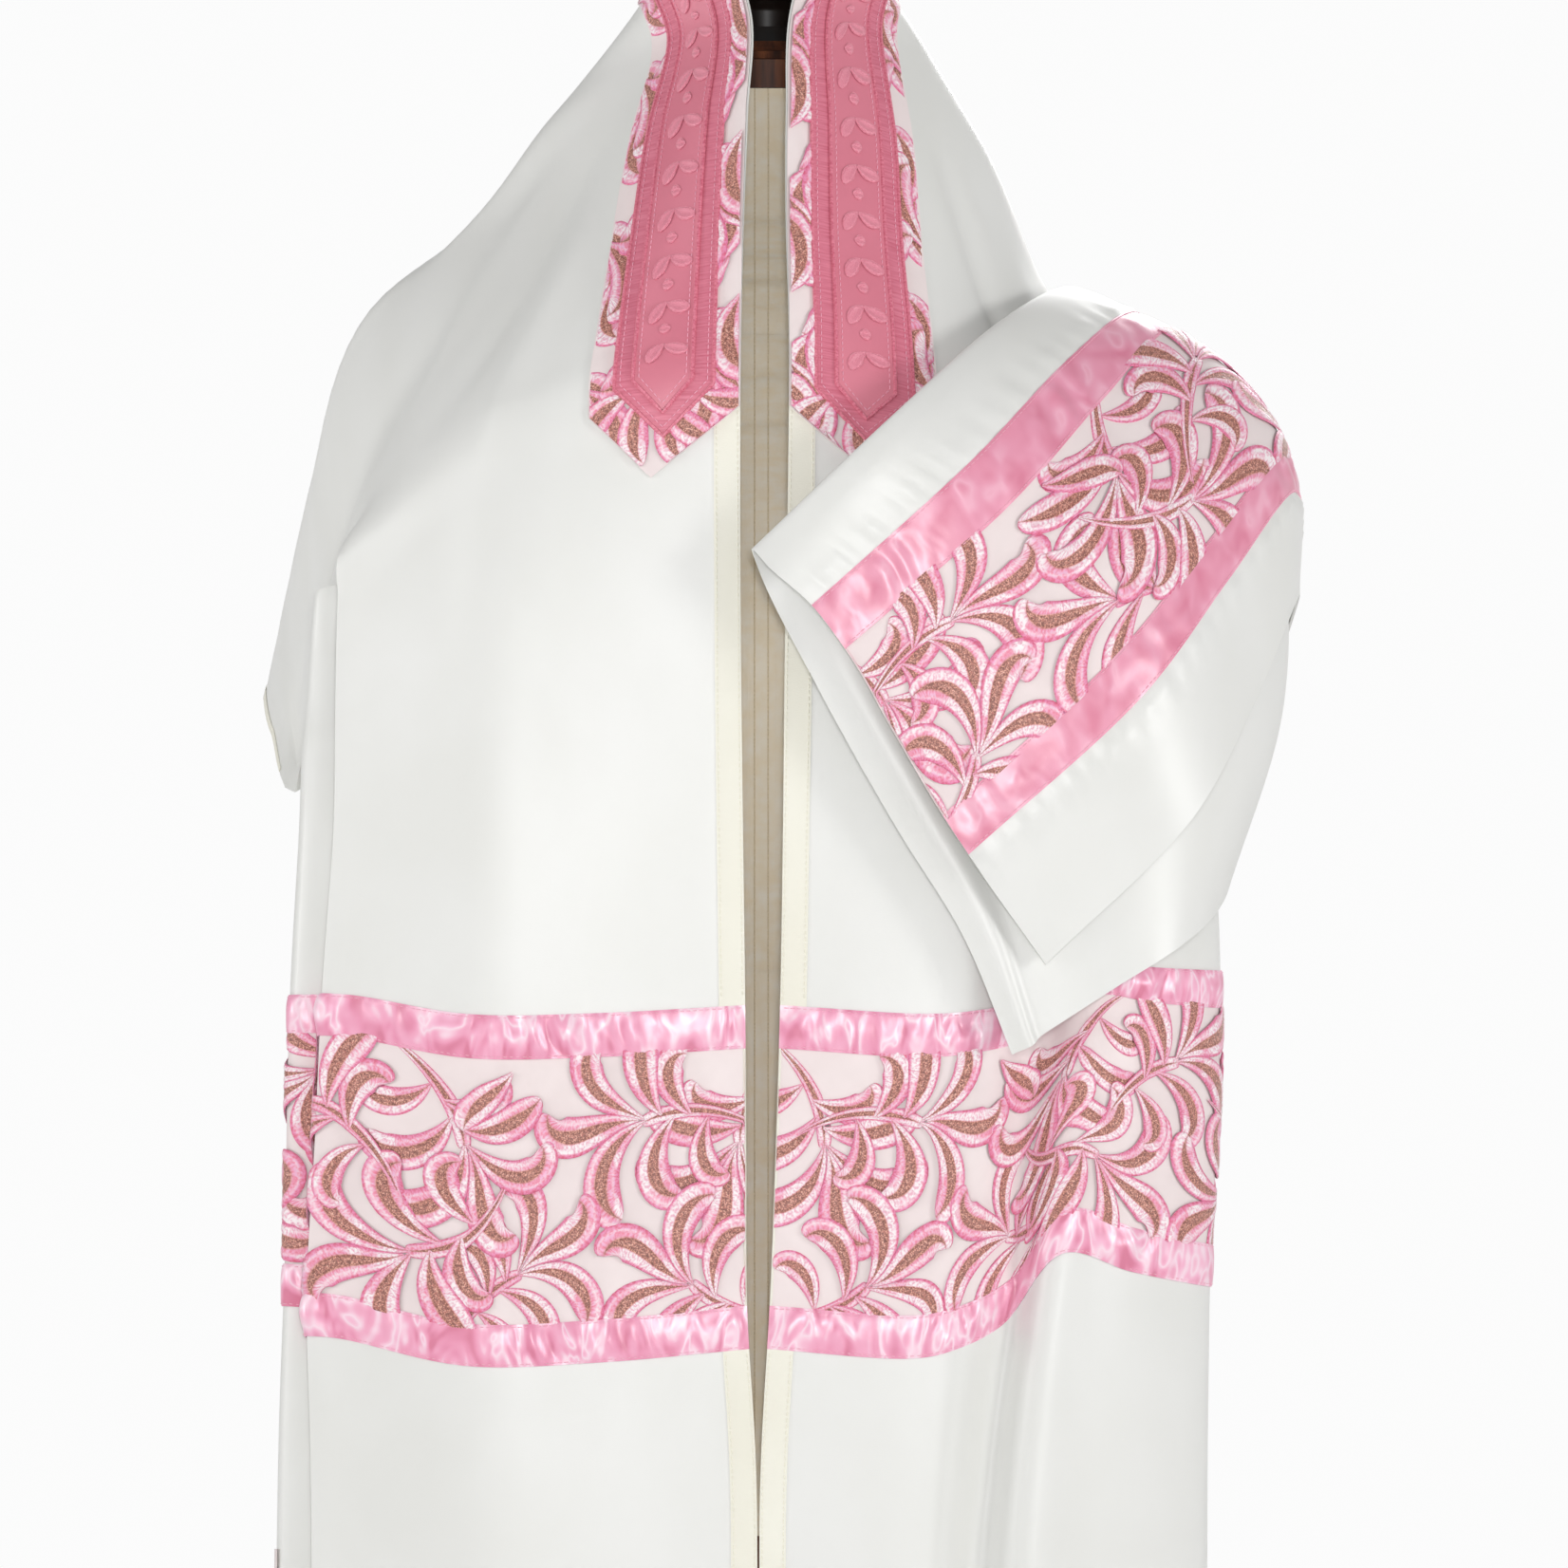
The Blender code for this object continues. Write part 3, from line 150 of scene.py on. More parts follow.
# Right front, by run: x of the neck edge, place and lift of the valley and of the crest beside it, x and lift of
# the outer fold, and how far the side wraps back.
RIGHT_FRONT = (
    # run    edge_x  valley_x valley_lift crest_x crest_lift outer_x outer_lift wrap
    (0.530, 0.0082, 0.1380, -0.004, 0.1680, -0.006, 0.2130, -0.004, 0.125),
    (0.6165, 0.0068, 0.1300, 0.004, 0.1580, 0.020, 0.2160, 0.0155, 0.130),
    (0.690, 0.0045, 0.1240, 0.010, 0.1510, 0.036, 0.2150, 0.022, 0.132),
    (0.759, 0.0018, 0.1180, 0.014, 0.1440, 0.046, 0.2115, 0.0270, 0.134),
    (0.830, -0.0022, 0.1080, 0.012, 0.1330, 0.040, 0.2100, 0.0260, 0.136),
    (HALF, -0.0026, 0.0940, 0.008, 0.1190, 0.030, 0.2092, 0.0200, 0.138),
)
RIGHT_STATIONS = (0.0, NECKBAND, 0.105, 0.140, 0.170, 0.210, 0.262, 0.300, 0.360, 0.430, 0.508)

# Soft folds laid over the ribs: where each starts and ends on the cloth, how far it stands out (or sinks in, if
# negative) and its half width, all along its length but fading at its start.
SOFT_FOLDS = (
    # run    width   run     width   height  half_width
    (-0.012, 0.130, -0.030, 0.508, 0.0075, 0.017),
    (-0.036, 0.140, -0.066, 0.508, -0.0065, 0.016),
    (-0.062, 0.200, -0.100, 0.508, 0.0070, 0.017),
    (0.006, 0.130, 0.006, 0.508, -0.0065, 0.016),
    (0.026, 0.130, 0.044, 0.508, 0.0075, 0.017),
    (0.054, 0.170, 0.082, 0.508, -0.0060, 0.016),
    (-0.168, 0.084, -0.262, 0.142, -0.0035, 0.010),
    (-0.162, 0.104, -0.236, 0.170, 0.0035, 0.010),
    (-0.205, 0.084, -0.305, 0.124, 0.0030, 0.010),
    (-0.215, 0.110, -0.270, 0.300, -0.0045, 0.018),
    (0.168, 0.084, 0.250, 0.135, -0.0030, 0.009),
)

EVEN_TO = 0.29                   # run up to which the cloth is spread evenly round the back and shoulders
EVEN_FROM = (0.12, 0.30)         # widths between which it comes to be spread so

LEAF_STATIONS = (0.0, 0.10, 0.16, 0.22, 0.31, 0.44)
LEAF_EDGES = (-0.270, 0.240)     # of the under leaf and of the free leaf, across from the fold
LEAF_FOLDS = ((-0.010, 0.014, -0.270, 0.014, 0.0045, 0.009),)     # the under leaf's end is softly rolled
SHOULDER_LEAVES = (
    # across   end                       chest                     front
    #          crest                     blade                     tail
    (-0.270, (0.1161, -0.1490, 0.9765), (0.1620, -0.1450, 1.0060), (0.1970, -0.1300, 1.0280),
     (0.2180, -0.0900, 1.0480), (0.2270, 0.0050, 1.0850), (0.2120, 0.0900, 1.0500)),
    (-0.207, (0.0925, -0.1500, 1.0335), (0.1545, -0.1460, 1.0800), (0.2100, -0.1150, 1.1140),
     (0.2470, -0.0510, 1.1385), (0.2440, 0.0350, 1.1470), (0.2200, 0.1020, 1.0700)),
    (-0.150, (0.0627, -0.1490, 1.0818), (0.1360, -0.1445, 1.1440), (0.2020, -0.1060, 1.1850),
     (0.2465, -0.0300, 1.2150), (0.2445, 0.0500, 1.2000), (0.2220, 0.1140, 1.0980)),
    (-0.070, (0.0236, -0.1470, 1.1517), (0.0945, -0.1460, 1.2190), (0.1560, -0.1060, 1.2715),
     (0.1980, -0.0200, 1.3060), (0.2080, 0.0660, 1.2730), (0.2020, 0.1260, 1.1440)),
    (-0.012, (-0.0035, -0.1440, 1.2060), (0.0610, -0.1430, 1.2700), (0.1090, -0.0960, 1.3180),
     (0.1450, -0.0080, 1.3400), (0.1532, 0.0757, 1.3150), (0.1530, 0.1258, 1.1900)),
    (0.000, (-0.0063, -0.1490, 1.2150), (0.0600, -0.1480, 1.2780), (0.1110, -0.0985, 1.3240),
     (0.1480, -0.0100, 1.3450), (0.1575, 0.0815, 1.3215), (0.1565, 0.1335, 1.1910)),
    (0.012, (0.0010, -0.1540, 1.2070), (0.0680, -0.1520, 1.2725), (0.1190, -0.1000, 1.3200),
     (0.1560, -0.0140, 1.3430), (0.1690, 0.0840, 1.3180), (0.1680, 0.1380, 1.1870)),
    (0.0385, (0.0216, -0.1570, 1.1885), (0.0954, -0.1500, 1.2555), (0.1420, -0.0960, 1.3050),
     (0.1770, -0.0180, 1.3320), (0.1910, 0.0800, 1.3020), (0.1890, 0.1350, 1.1760)),
    (0.0620, (0.0374, -0.1590, 1.1678), (0.1120, -0.1500, 1.2330), (0.1600, -0.0960, 1.2870),
     (0.1960, -0.0220, 1.3235), (0.2110, 0.0740, 1.2880), (0.2040, 0.1320, 1.1640)),
    (0.110, (0.0600, -0.1600, 1.1290), (0.1420, -0.1480, 1.2010), (0.1910, -0.0970, 1.2560),
     (0.2300, -0.0260, 1.2960), (0.2400, 0.0660, 1.2600), (0.2210, 0.1240, 1.1430)),
    (0.154, (0.0833, -0.1610, 1.0895), (0.1640, -0.1470, 1.1640), (0.2110, -0.0990, 1.2210),
     (0.2490, -0.0300, 1.2640), (0.2550, 0.0580, 1.2280), (0.2280, 0.1180, 1.1240)),
    (0.176, (0.0954, -0.1610, 1.0710), (0.1760, -0.1460, 1.1440), (0.2195, -0.0990, 1.2010),
     (0.2540, -0.0340, 1.2450), (0.2570, 0.0520, 1.2080), (0.2290, 0.1130, 1.1150)),
    (0.240, (0.1319, -0.1570, 1.0193), (0.2000, -0.1430, 1.0860), (0.2330, -0.0990, 1.1440),
     (0.2565, -0.0400, 1.1950), (0.2525, 0.0380, 1.1700), (0.2285, 0.0980, 1.0960)),
)

# ---------------------------------------------------------------- the dress form, as in the part's source
TORSO = (
    # height   half_width half_depth centre_y
    (NECK_TOP_Z, 0.0465, 0.0465, 0.004),
    (1.400, 0.0480, 0.0480, 0.004),
    (1.376, 0.0540, 0.0530, 0.004),
    (1.358, 0.0720, 0.0600, 0.003),
    (1.346, 0.0960, 0.0650, 0.002),
    (1.333, 0.1230, 0.0700, 0.002),
    (1.317, 0.1470, 0.0745, 0.002),
    (1.299, 0.1652, 0.0790, 0.002),
    (1.276, 0.1770, 0.0855, 0.002),
    (1.235, 0.1820, 0.0950, 0.000),
    (1.165, 0.1720, 0.1040, -0.002),
    (1.085, 0.1500, 0.1010, -0.002),
    (1.015, 0.1360, 0.0930, 0.000),
    (0.945, 0.1420, 0.0950, 0.004),
    (0.870, 0.1680, 0.1080, 0.007),
    (0.805, 0.1780, 0.1140, 0.009),
    (0.765, 0.1750, 0.1110, 0.009),
    (TORSO_FOOT_Z, 0.1590, 0.0990, 0.009),
)
TORSO_SQUARENESS = 2.25          # 2 is an ellipse
NECK_CAP = (
    # height above the neck, radius
    (0.0000, 0.0470),
    (0.0135, 0.0475),
    (0.0145, 0.0420),
    (0.0180, 0.0410),
    (0.0190, 0.0340),
    (0.0235, 0.0320),
)
KNOB = (
    # height above the cap, radius
    (0.0000, 0.0190),
    (0.0080, 0.0145),
    (0.0160, 0.0155),
    (0.0270, 0.0240),
    (0.0400, 0.0285),
    (0.0520, 0.0260),
    (0.0620, 0.0175),
    (0.0670, 0.0070),
)
POLE_RADIUS = 0.0165
POLE_COLLAR = (
    # height above the base, radius
    (0.000, 0.0300),
    (0.010, 0.0290),
    (0.030, 0.0210),
    (0.038, POLE_RADIUS),
)
# height, radius
BASE = ((0.0, 0.155), (0.008, 0.155), (0.016, 0.149), (BASE_HEIGHT, 0.139))
EASE = 0.08                      # share of each step of a turned profile over which its corner is eased
FORM_SIDES = 96
FRONT_SEAMS = (-0.0055, 0.0010)  # x of the form's two seams down its front
SEAM_HEIGHTS = (1.3205, 1.015)   # of the seams round its shoulders and its waist
SEAM_RADIUS = 0.0004

# ---------------------------------------------------------------- fineness and camera
CELL = 0.005                     # size of the cloth meshes' cells
CRINKLED_CELL = (0.0012, 0.0016)  # of a crinkled ribbon's cells, across it and along it
HAIR = 0.0001                    # half of what is left open between two cloths sewn edge to edge
JOINT = 0.0003                   # what is left open between two pieces of the stand
# Layers sewn on the cloth: how far their inner and outer faces lie from its middle.
RIBBON_FACES = (HALF_WALL + 0.0002, HALF_WALL + 0.0007)
TAPE_FACES = (HALF_WALL + 0.0001, HALF_WALL + 0.0005)
LACE_LIFT = HALF_WALL + 0.0006   # the inner face of the neckband's lace and of the patches
BAND_LACE_WALL = 0.0005
PATCH_WALL = 0.0004
SATIN_WALL = 0.0006              # of the neckband's border and field
PIPING_RADIUS = 0.0010
LACE_EDGE_RADIUS = 0.0007
EDGE_STEP = 0.003                # between places along a cord round an edge
STITCH_PITCH = 0.0030
STITCH_SHARE = 0.68              # of the pitch that shows as thread
STITCH_RADIUS = 0.00022
STITCH_INSET = 0.0012            # from the edge that a row of stitches holds
SEWN_STEP = 0.004                # between places along a row of stitches
CORE_RADIUS = 0.0027             # of a tassel's wound head
KNOTS = 5
KNOT_RADIUS = 0.0016             # how much further out a knot stands
KNOT_LENGTH = 0.022              # as a share of the head
WINDINGS = 38
WINDING_DEPTH = 0.00025
STRANDS = 8
STRAND_RADIUS = 0.0011
LEAF_RIBBONS = ((0.0385, 0.0620), (0.154, 0.176))
FRAME_WIDTH = 0.7434             # what the frame's width takes in at the front of the shawl
SENSOR = 36.0
CAMERA_FAR = 5.0                 # from the front of the shawl
CAMERA_FRONT_Y = -0.13
CAMERA_X = 0.00855
CAMERA_Z = 1.1043
HORIZON = 0.97                   # brightness of the studio's walls as the camera sees them
WALLS = 0.76                     # and as they light the cloth
CEILING = 0.28
AIM = (0.0, 0.0, 1.1)            # where the lamps point
FLOOR_RADIUS = 4.0
LAMPS = (
    # name   place               size power
    ("key", (-2.7, -2.6, 2.6), 1.1, 14),
    ("front", (0.10, -4.4, 1.40), 0.5, 42),
    ("side", (2.6, -1.8, 1.5), 0.8, 25),
    ("left", (-3.0, -0.9, 1.3), 0.8, 17),
    ("back", (0.8, 2.8, 2.6), 1.6, 40),
)


# ---------------------------------------------------------------- the embroidery
# A leaf across, from one edge to its middle: share of its half width, place on the thread colours, height.
LEAF_SIDE = (
    (1.00, 1.000, 0.00000),
    (0.94, 0.965, 0.00055),
    (0.87, 0.930, 0.00040),
    (0.76, 0.880, 0.00075),
    (0.52, 0.750, 0.00085),
    (0.34, 0.670, 0.00045),
)
LEAF_SECTION = (
    *((-share, 1 - colour, height) for share, colour, height in LEAF_SIDE), (0.0, 0.5, 0.00055), *LEAF_SIDE[::-1])
LEAF_ROWS = 24
LEAF_HALF = 0.0006               # least half width of a leaf
FULL_HALF = 0.0030               # half width from which a leaf stands at its full height
FADE = 0.0015                    # distance past a field's edge over which leaves sink to it
CUT = 0.0006                     # how far inside a field's ends leaves are cut, and how far past its edges
PAST = 0.003
LEVEL = 0.00022                  # how much higher a leaf lies for each leaf under it, up to HIGHEST of them
HIGHEST = 5
STEM = 0.005                     # what is narrower has no glittering centre
# A plume of leaves along a bent tail, from the lowest to the one on top: those on its left curl to the left and those
# on its right to the right, and some turn back at their tips.
SPRAY = (
    # station  aside   turn  length  width   bend  curl  bluntness
    (-0.056, 0.0160, -40, 0.062, 0.0062, 50, 10, 0.25),
    (-0.030, 0.0040, 62, 0.037, 0.0130, 40, 110, 0.50),
    (-0.022, 0.0020, -52, 0.038, 0.0140, -34, -120, 0.46),
    (-0.014, 0.0010, 44, 0.049, 0.0158, 56, 100, 0.42),
    (-0.008, -0.0005, -58, 0.047, 0.0158, -66, 10, 0.62),
    (0.000, 0.0000, -30, 0.056, 0.0165, -20, -150, 0.36),
    (0.000, 0.0010, 22, 0.058, 0.0170, 76, 60, 0.40),
    (0.003, 0.0000, -6, 0.054, 0.0185, 74, -190, 0.42),
)
BAND_DEPTH = LOWER_RIBBON[0] - UPPER_RIBBON[1]    # of the lace that shows between the ribbons
# Where plumes stand on a lace band: along it, across it, the way they point, size, mirrored or not.
BAND_SPRAYS = (
    # along   across  heading scale mirror
    (0.004, 0.044, 74, 1.00, 1),
    (0.048, 0.030, 6, 1.00, 1),
    (0.026, 0.110, -34, 0.92, -1),
    (0.112, 0.098, 214, 0.92, -1),
    (0.140, 0.040, 112, 0.98, -1),
    (0.160, 0.094, 28, 1.02, -1),
    (0.206, 0.030, -30, 1.04, 1),
    (0.254, 0.096, 146, 0.98, 1),
    (0.288, 0.054, -10, 0.98, -1),
    (0.312, 0.110, 40, 0.94, 1),
    (0.358, 0.036, 196, 0.94, 1),
    (0.386, 0.082, 16, 1.02, 1),
    (0.422, 0.020, 40, 0.94, -1),
    (0.468, 0.096, 160, 0.96, -1),
    (0.496, 0.050, 60, 1.00, 1),
)
BAND_LEAVES = (
    # along   across  heading length  width  bend curl bluntness
    (0.116, 0.006, 50, 0.038, 0.014, -50, 90, 0.60),
    (0.366, 0.120, -70, 0.038, 0.014, -50, 90, 0.60),
    (0.500, 0.014, 250, 0.040, 0.015, 40, 60, 0.40),
)
# Leaves on the neckband's lace, over and over: heading, width of the root, length, bend, bluntness.
NECK_LEAVES = (
    (24, 0.0170, 0.044, -58, 0.44),
    (146, -0.0010, 0.046, 62, 0.70),
    (-42, 0.0150, 0.042, 54, 0.66),
    (62, -0.0060, 0.050, -64, 0.42),
    (200, 0.0190, 0.044, -50, 0.74),
)


# ---------------------------------------------------------------- cloth surfaces
def distances(path):
    """How far along a path each of its points is."""
    return np.concatenate([[0.0], np.cumsum(np.linalg.norm(np.diff(path, axis=0), axis=1))])


def eased(share):
    """A share from 0 to 1 that starts and ends gently."""
    return share * share * (3 - 2 * share)


def rib_spans(way_points, steps=16):
    """The smooth curve through the way points, as one dense run of points for each span between two of them."""
    points = np.array(way_points, float)
    points = np.vstack([2 * points[0] - points[1], points, 2 * points[-1] - points[-2]])
    gaps = np.sqrt(np.linalg.norm(np.diff(points, axis=0), axis=1))
    knots = np.concatenate([[0.0], np.cumsum(gaps)])
    spans = []
    for k in range(1, len(points) - 2):
        u = np.linspace(knots[k], knots[k + 1], steps + 1)[:, None]
        a = [
            (points[j] * (knots[j + 1] - u) + points[j + 1] * (u - knots[j])) / (knots[j + 1] - knots[j])
            for j in (k - 1, k, k + 1)
        ]
        b = [
            (a[j] * (knots[k + 1 + j] - u) + a[j + 1] * (u - knots[k - 1 + j])) / (knots[k + 1 + j] - knots[k - 1 + j])
            for j in (0, 1)
        ]
        spans.append((b[0] * (knots[k + 1] - u) + b[1] * (u - knots[k])) / (knots[k + 1] - knots[k]))
    return spans


def on_rib(way_points, stations, widths):
    """Points of a rib at the given widths; the cloth between two way points is spread evenly along the curve."""
    found = np.zeros((len(widths), 3))
    for k, span in enumerate(rib_spans(way_points)):
        lengths = distances(span)
        low, high = stations[k], stations[k + 1]
        inside = (widths >= low - 1e-9) & (widths <= high + 1e-9)
        share = (widths[inside] - low) / (high - low) * lengths[-1]
        for axis in range(3):
            found[inside, axis] = np.interp(share, lengths, span[:, axis])
    return found


class Sheet:
    """A cloth's middle surface through its ribs: a rib is (run, stations, way points)."""

    FINE = 1200                  # stations across at which each rib is kept

    def __init__(self, ribs, folds, even_to=0.0):
        ribs = sorted(ribs, key=lambda rib: rib[0])
        self.folds, self.even_to = folds, even_to
        self.runs = np.array([rib[0] for rib in ribs])
        self.narrowest, self.widest = ribs[0][1][0], ribs[0][1][-1]
        widths = np.linspace(self.narrowest, self.widest, self.FINE)
        self.lines = np.array([on_rib(points, stations, widths) for _, stations, points in ribs])
        steps = np.diff(self.runs)
        slopes = np.diff(self.lines, axis=0) / steps[:, None, None]
        self.bends = np.empty_like(self.lines)
        self.bends[0], self.bends[-1] = slopes[0], slopes[-1]
        before, after = steps[:-1, None, None], steps[1:, None, None]
        self.bends[1:-1] = (slopes[:-1] * after + slopes[1:] * before) / (before + after)
        if even_to:
            self.measure_feed()

    def measure_feed(self, steps=121, stations=43):
        """Where cloth that is spread evenly from the nape to even_to lies between the ribs, by side and width."""
        runs = np.linspace(0, self.even_to, steps)
        widths = np.linspace(self.narrowest, self.widest, stations)
        self.fed = {}
        for side in (-1, 1):
            lines = self.smooth(np.tile(side * runs, stations), np.repeat(widths, steps)).reshape(stations, steps, 3)
            pieces = np.linalg.norm(np.diff(lines, axis=1), axis=2)
            lengths = np.concatenate([np.zeros((stations, 1)), np.cumsum(pieces, axis=1)], axis=1)
            lengths *= self.even_to / lengths[:, -1:]
            self.fed[side] = np.array([np.interp(runs, length, runs) for length in lengths])

    def feed(self, runs, widths):
        """The rib run that lies at a run of evenly spread cloth; the neckband's own strip stays as it is."""
        if not self.even_to:
            return runs
        size = np.abs(runs)
        inside = np.minimum(size, self.even_to)
        stations, steps = self.fed[1].shape
        across = (widths - self.narrowest) / (self.widest - self.narrowest) * (stations - 1)
        along = inside / self.even_to * (steps - 1)
        i = np.minimum(across.astype(int), stations - 2)
        j = np.minimum(along.astype(int), steps - 2)
        u, v = across - i, along - j
        even = np.zeros(len(runs))
        for side, table in self.fed.items():
            found = (1 - u) * ((1 - v) * table[i, j] + v * table[i, j + 1])
            found += u * ((1 - v) * table[i + 1, j] + v * table[i + 1, j + 1])
            even = np.where(np.sign(runs) == side, found, even)
        share = eased(np.clip((widths - EVEN_FROM[0]) / (EVEN_FROM[1] - EVEN_FROM[0]), 0, 1))
        return np.sign(runs) * (share * (even - inside) + size)

    def at(self, runs, widths):
        """Points at matching lists of runs and widths, with the soft folds on them."""
        runs = np.clip(np.asarray(runs, float), self.runs[0], self.runs[-1])
        widths = np.clip(np.asarray(widths, float), self.narrowest, self.widest)
        points = self.smooth(self.feed(runs, widths), widths)
        level = points * (1.0, 1.0, 0.0)
        away = level / np.maximum(np.linalg.norm(level, axis=1), 1e-6)[:, None]
        return points + away * self.fold_height(runs, widths)[:, None]

    def smooth(self, runs, widths):
        """Points at matching lists of rib runs and widths, smooth from rib to rib."""
        place = (widths - self.narrowest) / (self.widest - self.narrowest) * (self.FINE - 1)
        i = np.clip(place.astype(int), 0, self.FINE - 2)
        part = (place - i)[:, None]
        steps = np.diff(self.runs)
        k = np.clip(np.searchsorted(self.runs, runs, side="right") - 1, 0, len(steps) - 1)
        h = steps[k][:, None]
        u = ((runs - self.runs[k]) / steps[k])[:, None]
        (p, m), (q, n) = [
            [table[rib, i] * (1 - part) + table[rib, i + 1] * part for table in (self.lines, self.bends)]
            for rib in (k, k + 1)
        ]
        return (
            (2 * u**3 - 3 * u**2 + 1) * p + (u**3 - 2 * u**2 + u) * h * m
            + (3 * u**2 - 2 * u**3) * q + (u**3 - u**2) * h * n
        )

    def fold_height(self, runs, widths):
        """How far the soft folds stand out of the smooth surface."""
        total = np.zeros(len(runs))
        for run_a, width_a, run_b, width_b, height, half_width in self.folds:
            axis = np.array((run_b - run_a, width_b - width_a))
            length = np.linalg.norm(axis)
            axis /= length
            along = (runs - run_a) * axis[0] + (widths - width_a) * axis[1]
            off = (runs - run_a) * axis[1] - (widths - width_a) * axis[0]
            grow = np.clip(along / (0.5 * length), 0, 1)
            fade = np.clip((1.35 * length - along) / (0.35 * length), 0, 1)
            total += height * np.exp(-((off / half_width) ** 2)) * eased(grow) * fade
        return total

    def out(self, runs, widths, step=0.0015):
        """Unit directions that point away from the wearer."""
        along = self.at(runs + step, widths) - self.at(runs - step, widths)
        across = self.at(runs, widths + step) - self.at(runs, widths - step)
        normal = np.cross(along, across)
        return normal / np.maximum(np.linalg.norm(normal, axis=1), 1e-9)[:, None]

    def raised(self, runs, widths, height):
        """Points at matching lists of places, moved out by height."""
        return self.at(runs, widths) + self.out(runs, widths) * np.broadcast_to(height, np.shape(runs))[:, None]


def edge_height(run):
    """How high the neck edge hangs down the front."""
    return COLLAR_FRONT_Z - (run - COLLAR_RUN)


def left_front_rib(run, edge_x, fold_x, tuck, strip_x, fold_drop, strip_drop, hem_drop, sag):
    """A rib of the left front: panel, outer fold, pleat tucked behind it, the strip's fold and the turned-back hem."""
    top = edge_height(run)
    low = min(1.0, max(0.0, (run - HANG_RUN) / HANG_OVER))
    edge_y = CHEST_EDGE_Y + (EDGE_Y - CHEST_EDGE_Y) * low
    fold_y = CHEST_FOLD_Y - FOLD_FORWARD * low
    strip_y = fold_y + 2 * LAYER_GAP + 0.002
    inner_x = fold_x + tuck
    return (
        run,
        LEFT_STATIONS,
        (
            (edge_x, edge_y, top),
            (edge_x - NECKBAND, edge_y + 0.010 * (1 - low) ** 4 - 0.004 * low, top - 0.08 * fold_drop - 0.7 * sag),
            (edge_x - NECKBAND + 0.45 * (fold_x + NECKBAND - edge_x), edge_y + 0.018 * (1 - low) ** 4 - 0.004 * low,
             top - 0.36 * fold_drop - sag),
            (fold_x + 0.016, fold_y - 0.005, top - 0.85 * fold_drop),
            (fold_x, fold_y + 0.001, top - fold_drop),
            (fold_x + 0.004, fold_y + LAYER_GAP, top - fold_drop - 0.002),
            (fold_x + 0.5 * tuck, fold_y + LAYER_GAP - 0.05 * tuck, top - 0.7 * fold_drop - 0.3 * strip_drop),
            (inner_x, fold_y + LAYER_GAP - 0.09 * tuck, top - 0.5 * fold_drop - 0.5 * strip_drop),
            (inner_x, fold_y + 2 * LAYER_GAP - 0.09 * tuck, top - 0.5 * fold_drop - 0.5 * strip_drop),
            (0.5 * (inner_x + strip_x), strip_y - 0.04 * tuck - 0.002, top - 0.25 * fold_drop - 0.75 * strip_drop),
            (strip_x, strip_y, top - strip_drop),
            (strip_x + 0.002, strip_y + 0.012, top - strip_drop - 0.001),
            (strip_x + 0.012, strip_y + 0.012 + WRAP, top - hem_drop),
        ),
    )


def right_front_rib(run, edge_x, valley_x, valley_lift, crest_x, crest_lift, outer_x, outer_lift, wrap):
    """A rib of the right front: panel, valley, crest, outer fold and the side that wraps back in one soft wave."""
    top = edge_height(run)
    return (
        run,
        RIGHT_STATIONS,
        (
            (edge_x, EDGE_Y, top),
            (edge_x + NECKBAND, EDGE_Y - 0.006, top - 0.004),
            (0.4 * (edge_x + NECKBAND) + 0.6 * valley_x - 0.006, EDGE_Y - 0.005, top + 0.3 * valley_lift - 0.003),
            (valley_x, EDGE_Y + 0.012, top + valley_lift),
            (crest_x, EDGE_Y - 0.002, top + crest_lift),
            (crest_x + 0.45 * (outer_x - crest_x), EDGE_Y + 0.010, top + 0.5 * crest_lift + 0.5 * outer_lift),
            (outer_x, EDGE_Y + 0.050, top + outer_lift),
            (outer_x - 0.002, EDGE_Y + 0.080, top + outer_lift),
            (outer_x - 0.012, EDGE_Y + 0.060 + 0.45 * wrap, top + 0.9 * outer_lift),
            (outer_x - 0.006, EDGE_Y + 0.060 + 0.75 * wrap, top + 0.8 * outer_lift),
            (outer_x - 0.018, EDGE_Y + 0.062 + wrap, top + 0.7 * outer_lift),
        ),
    )


def shawl_sheet():
    """The shawl's middle surface, from the nape's rib out to both ends."""
    ribs = [(0.0, UPPER_STATIONS, NAPE_RIB)]
    ribs += [(-run, UPPER_STATIONS, points) for run, *points in LEFT_RIBS]
    ribs += [(run, UPPER_STATIONS, points) for run, *points in RIGHT_RIBS]
    for row in LEFT_FRONT:
        run, stations, points = left_front_rib(*row)
        ribs.append((-run, stations, points))
    ribs += [right_front_rib(*row) for row in RIGHT_FRONT]
    return Sheet(ribs, SOFT_FOLDS, EVEN_TO)


def stretch_sheet():
    """The folded stretch's middle surface, from its under leaf over the fold to its free leaf."""
    ribs = [(across, LEAF_STATIONS, points) for across, *points in SHOULDER_LEAVES]
    return Sheet(ribs, LEAF_FOLDS)


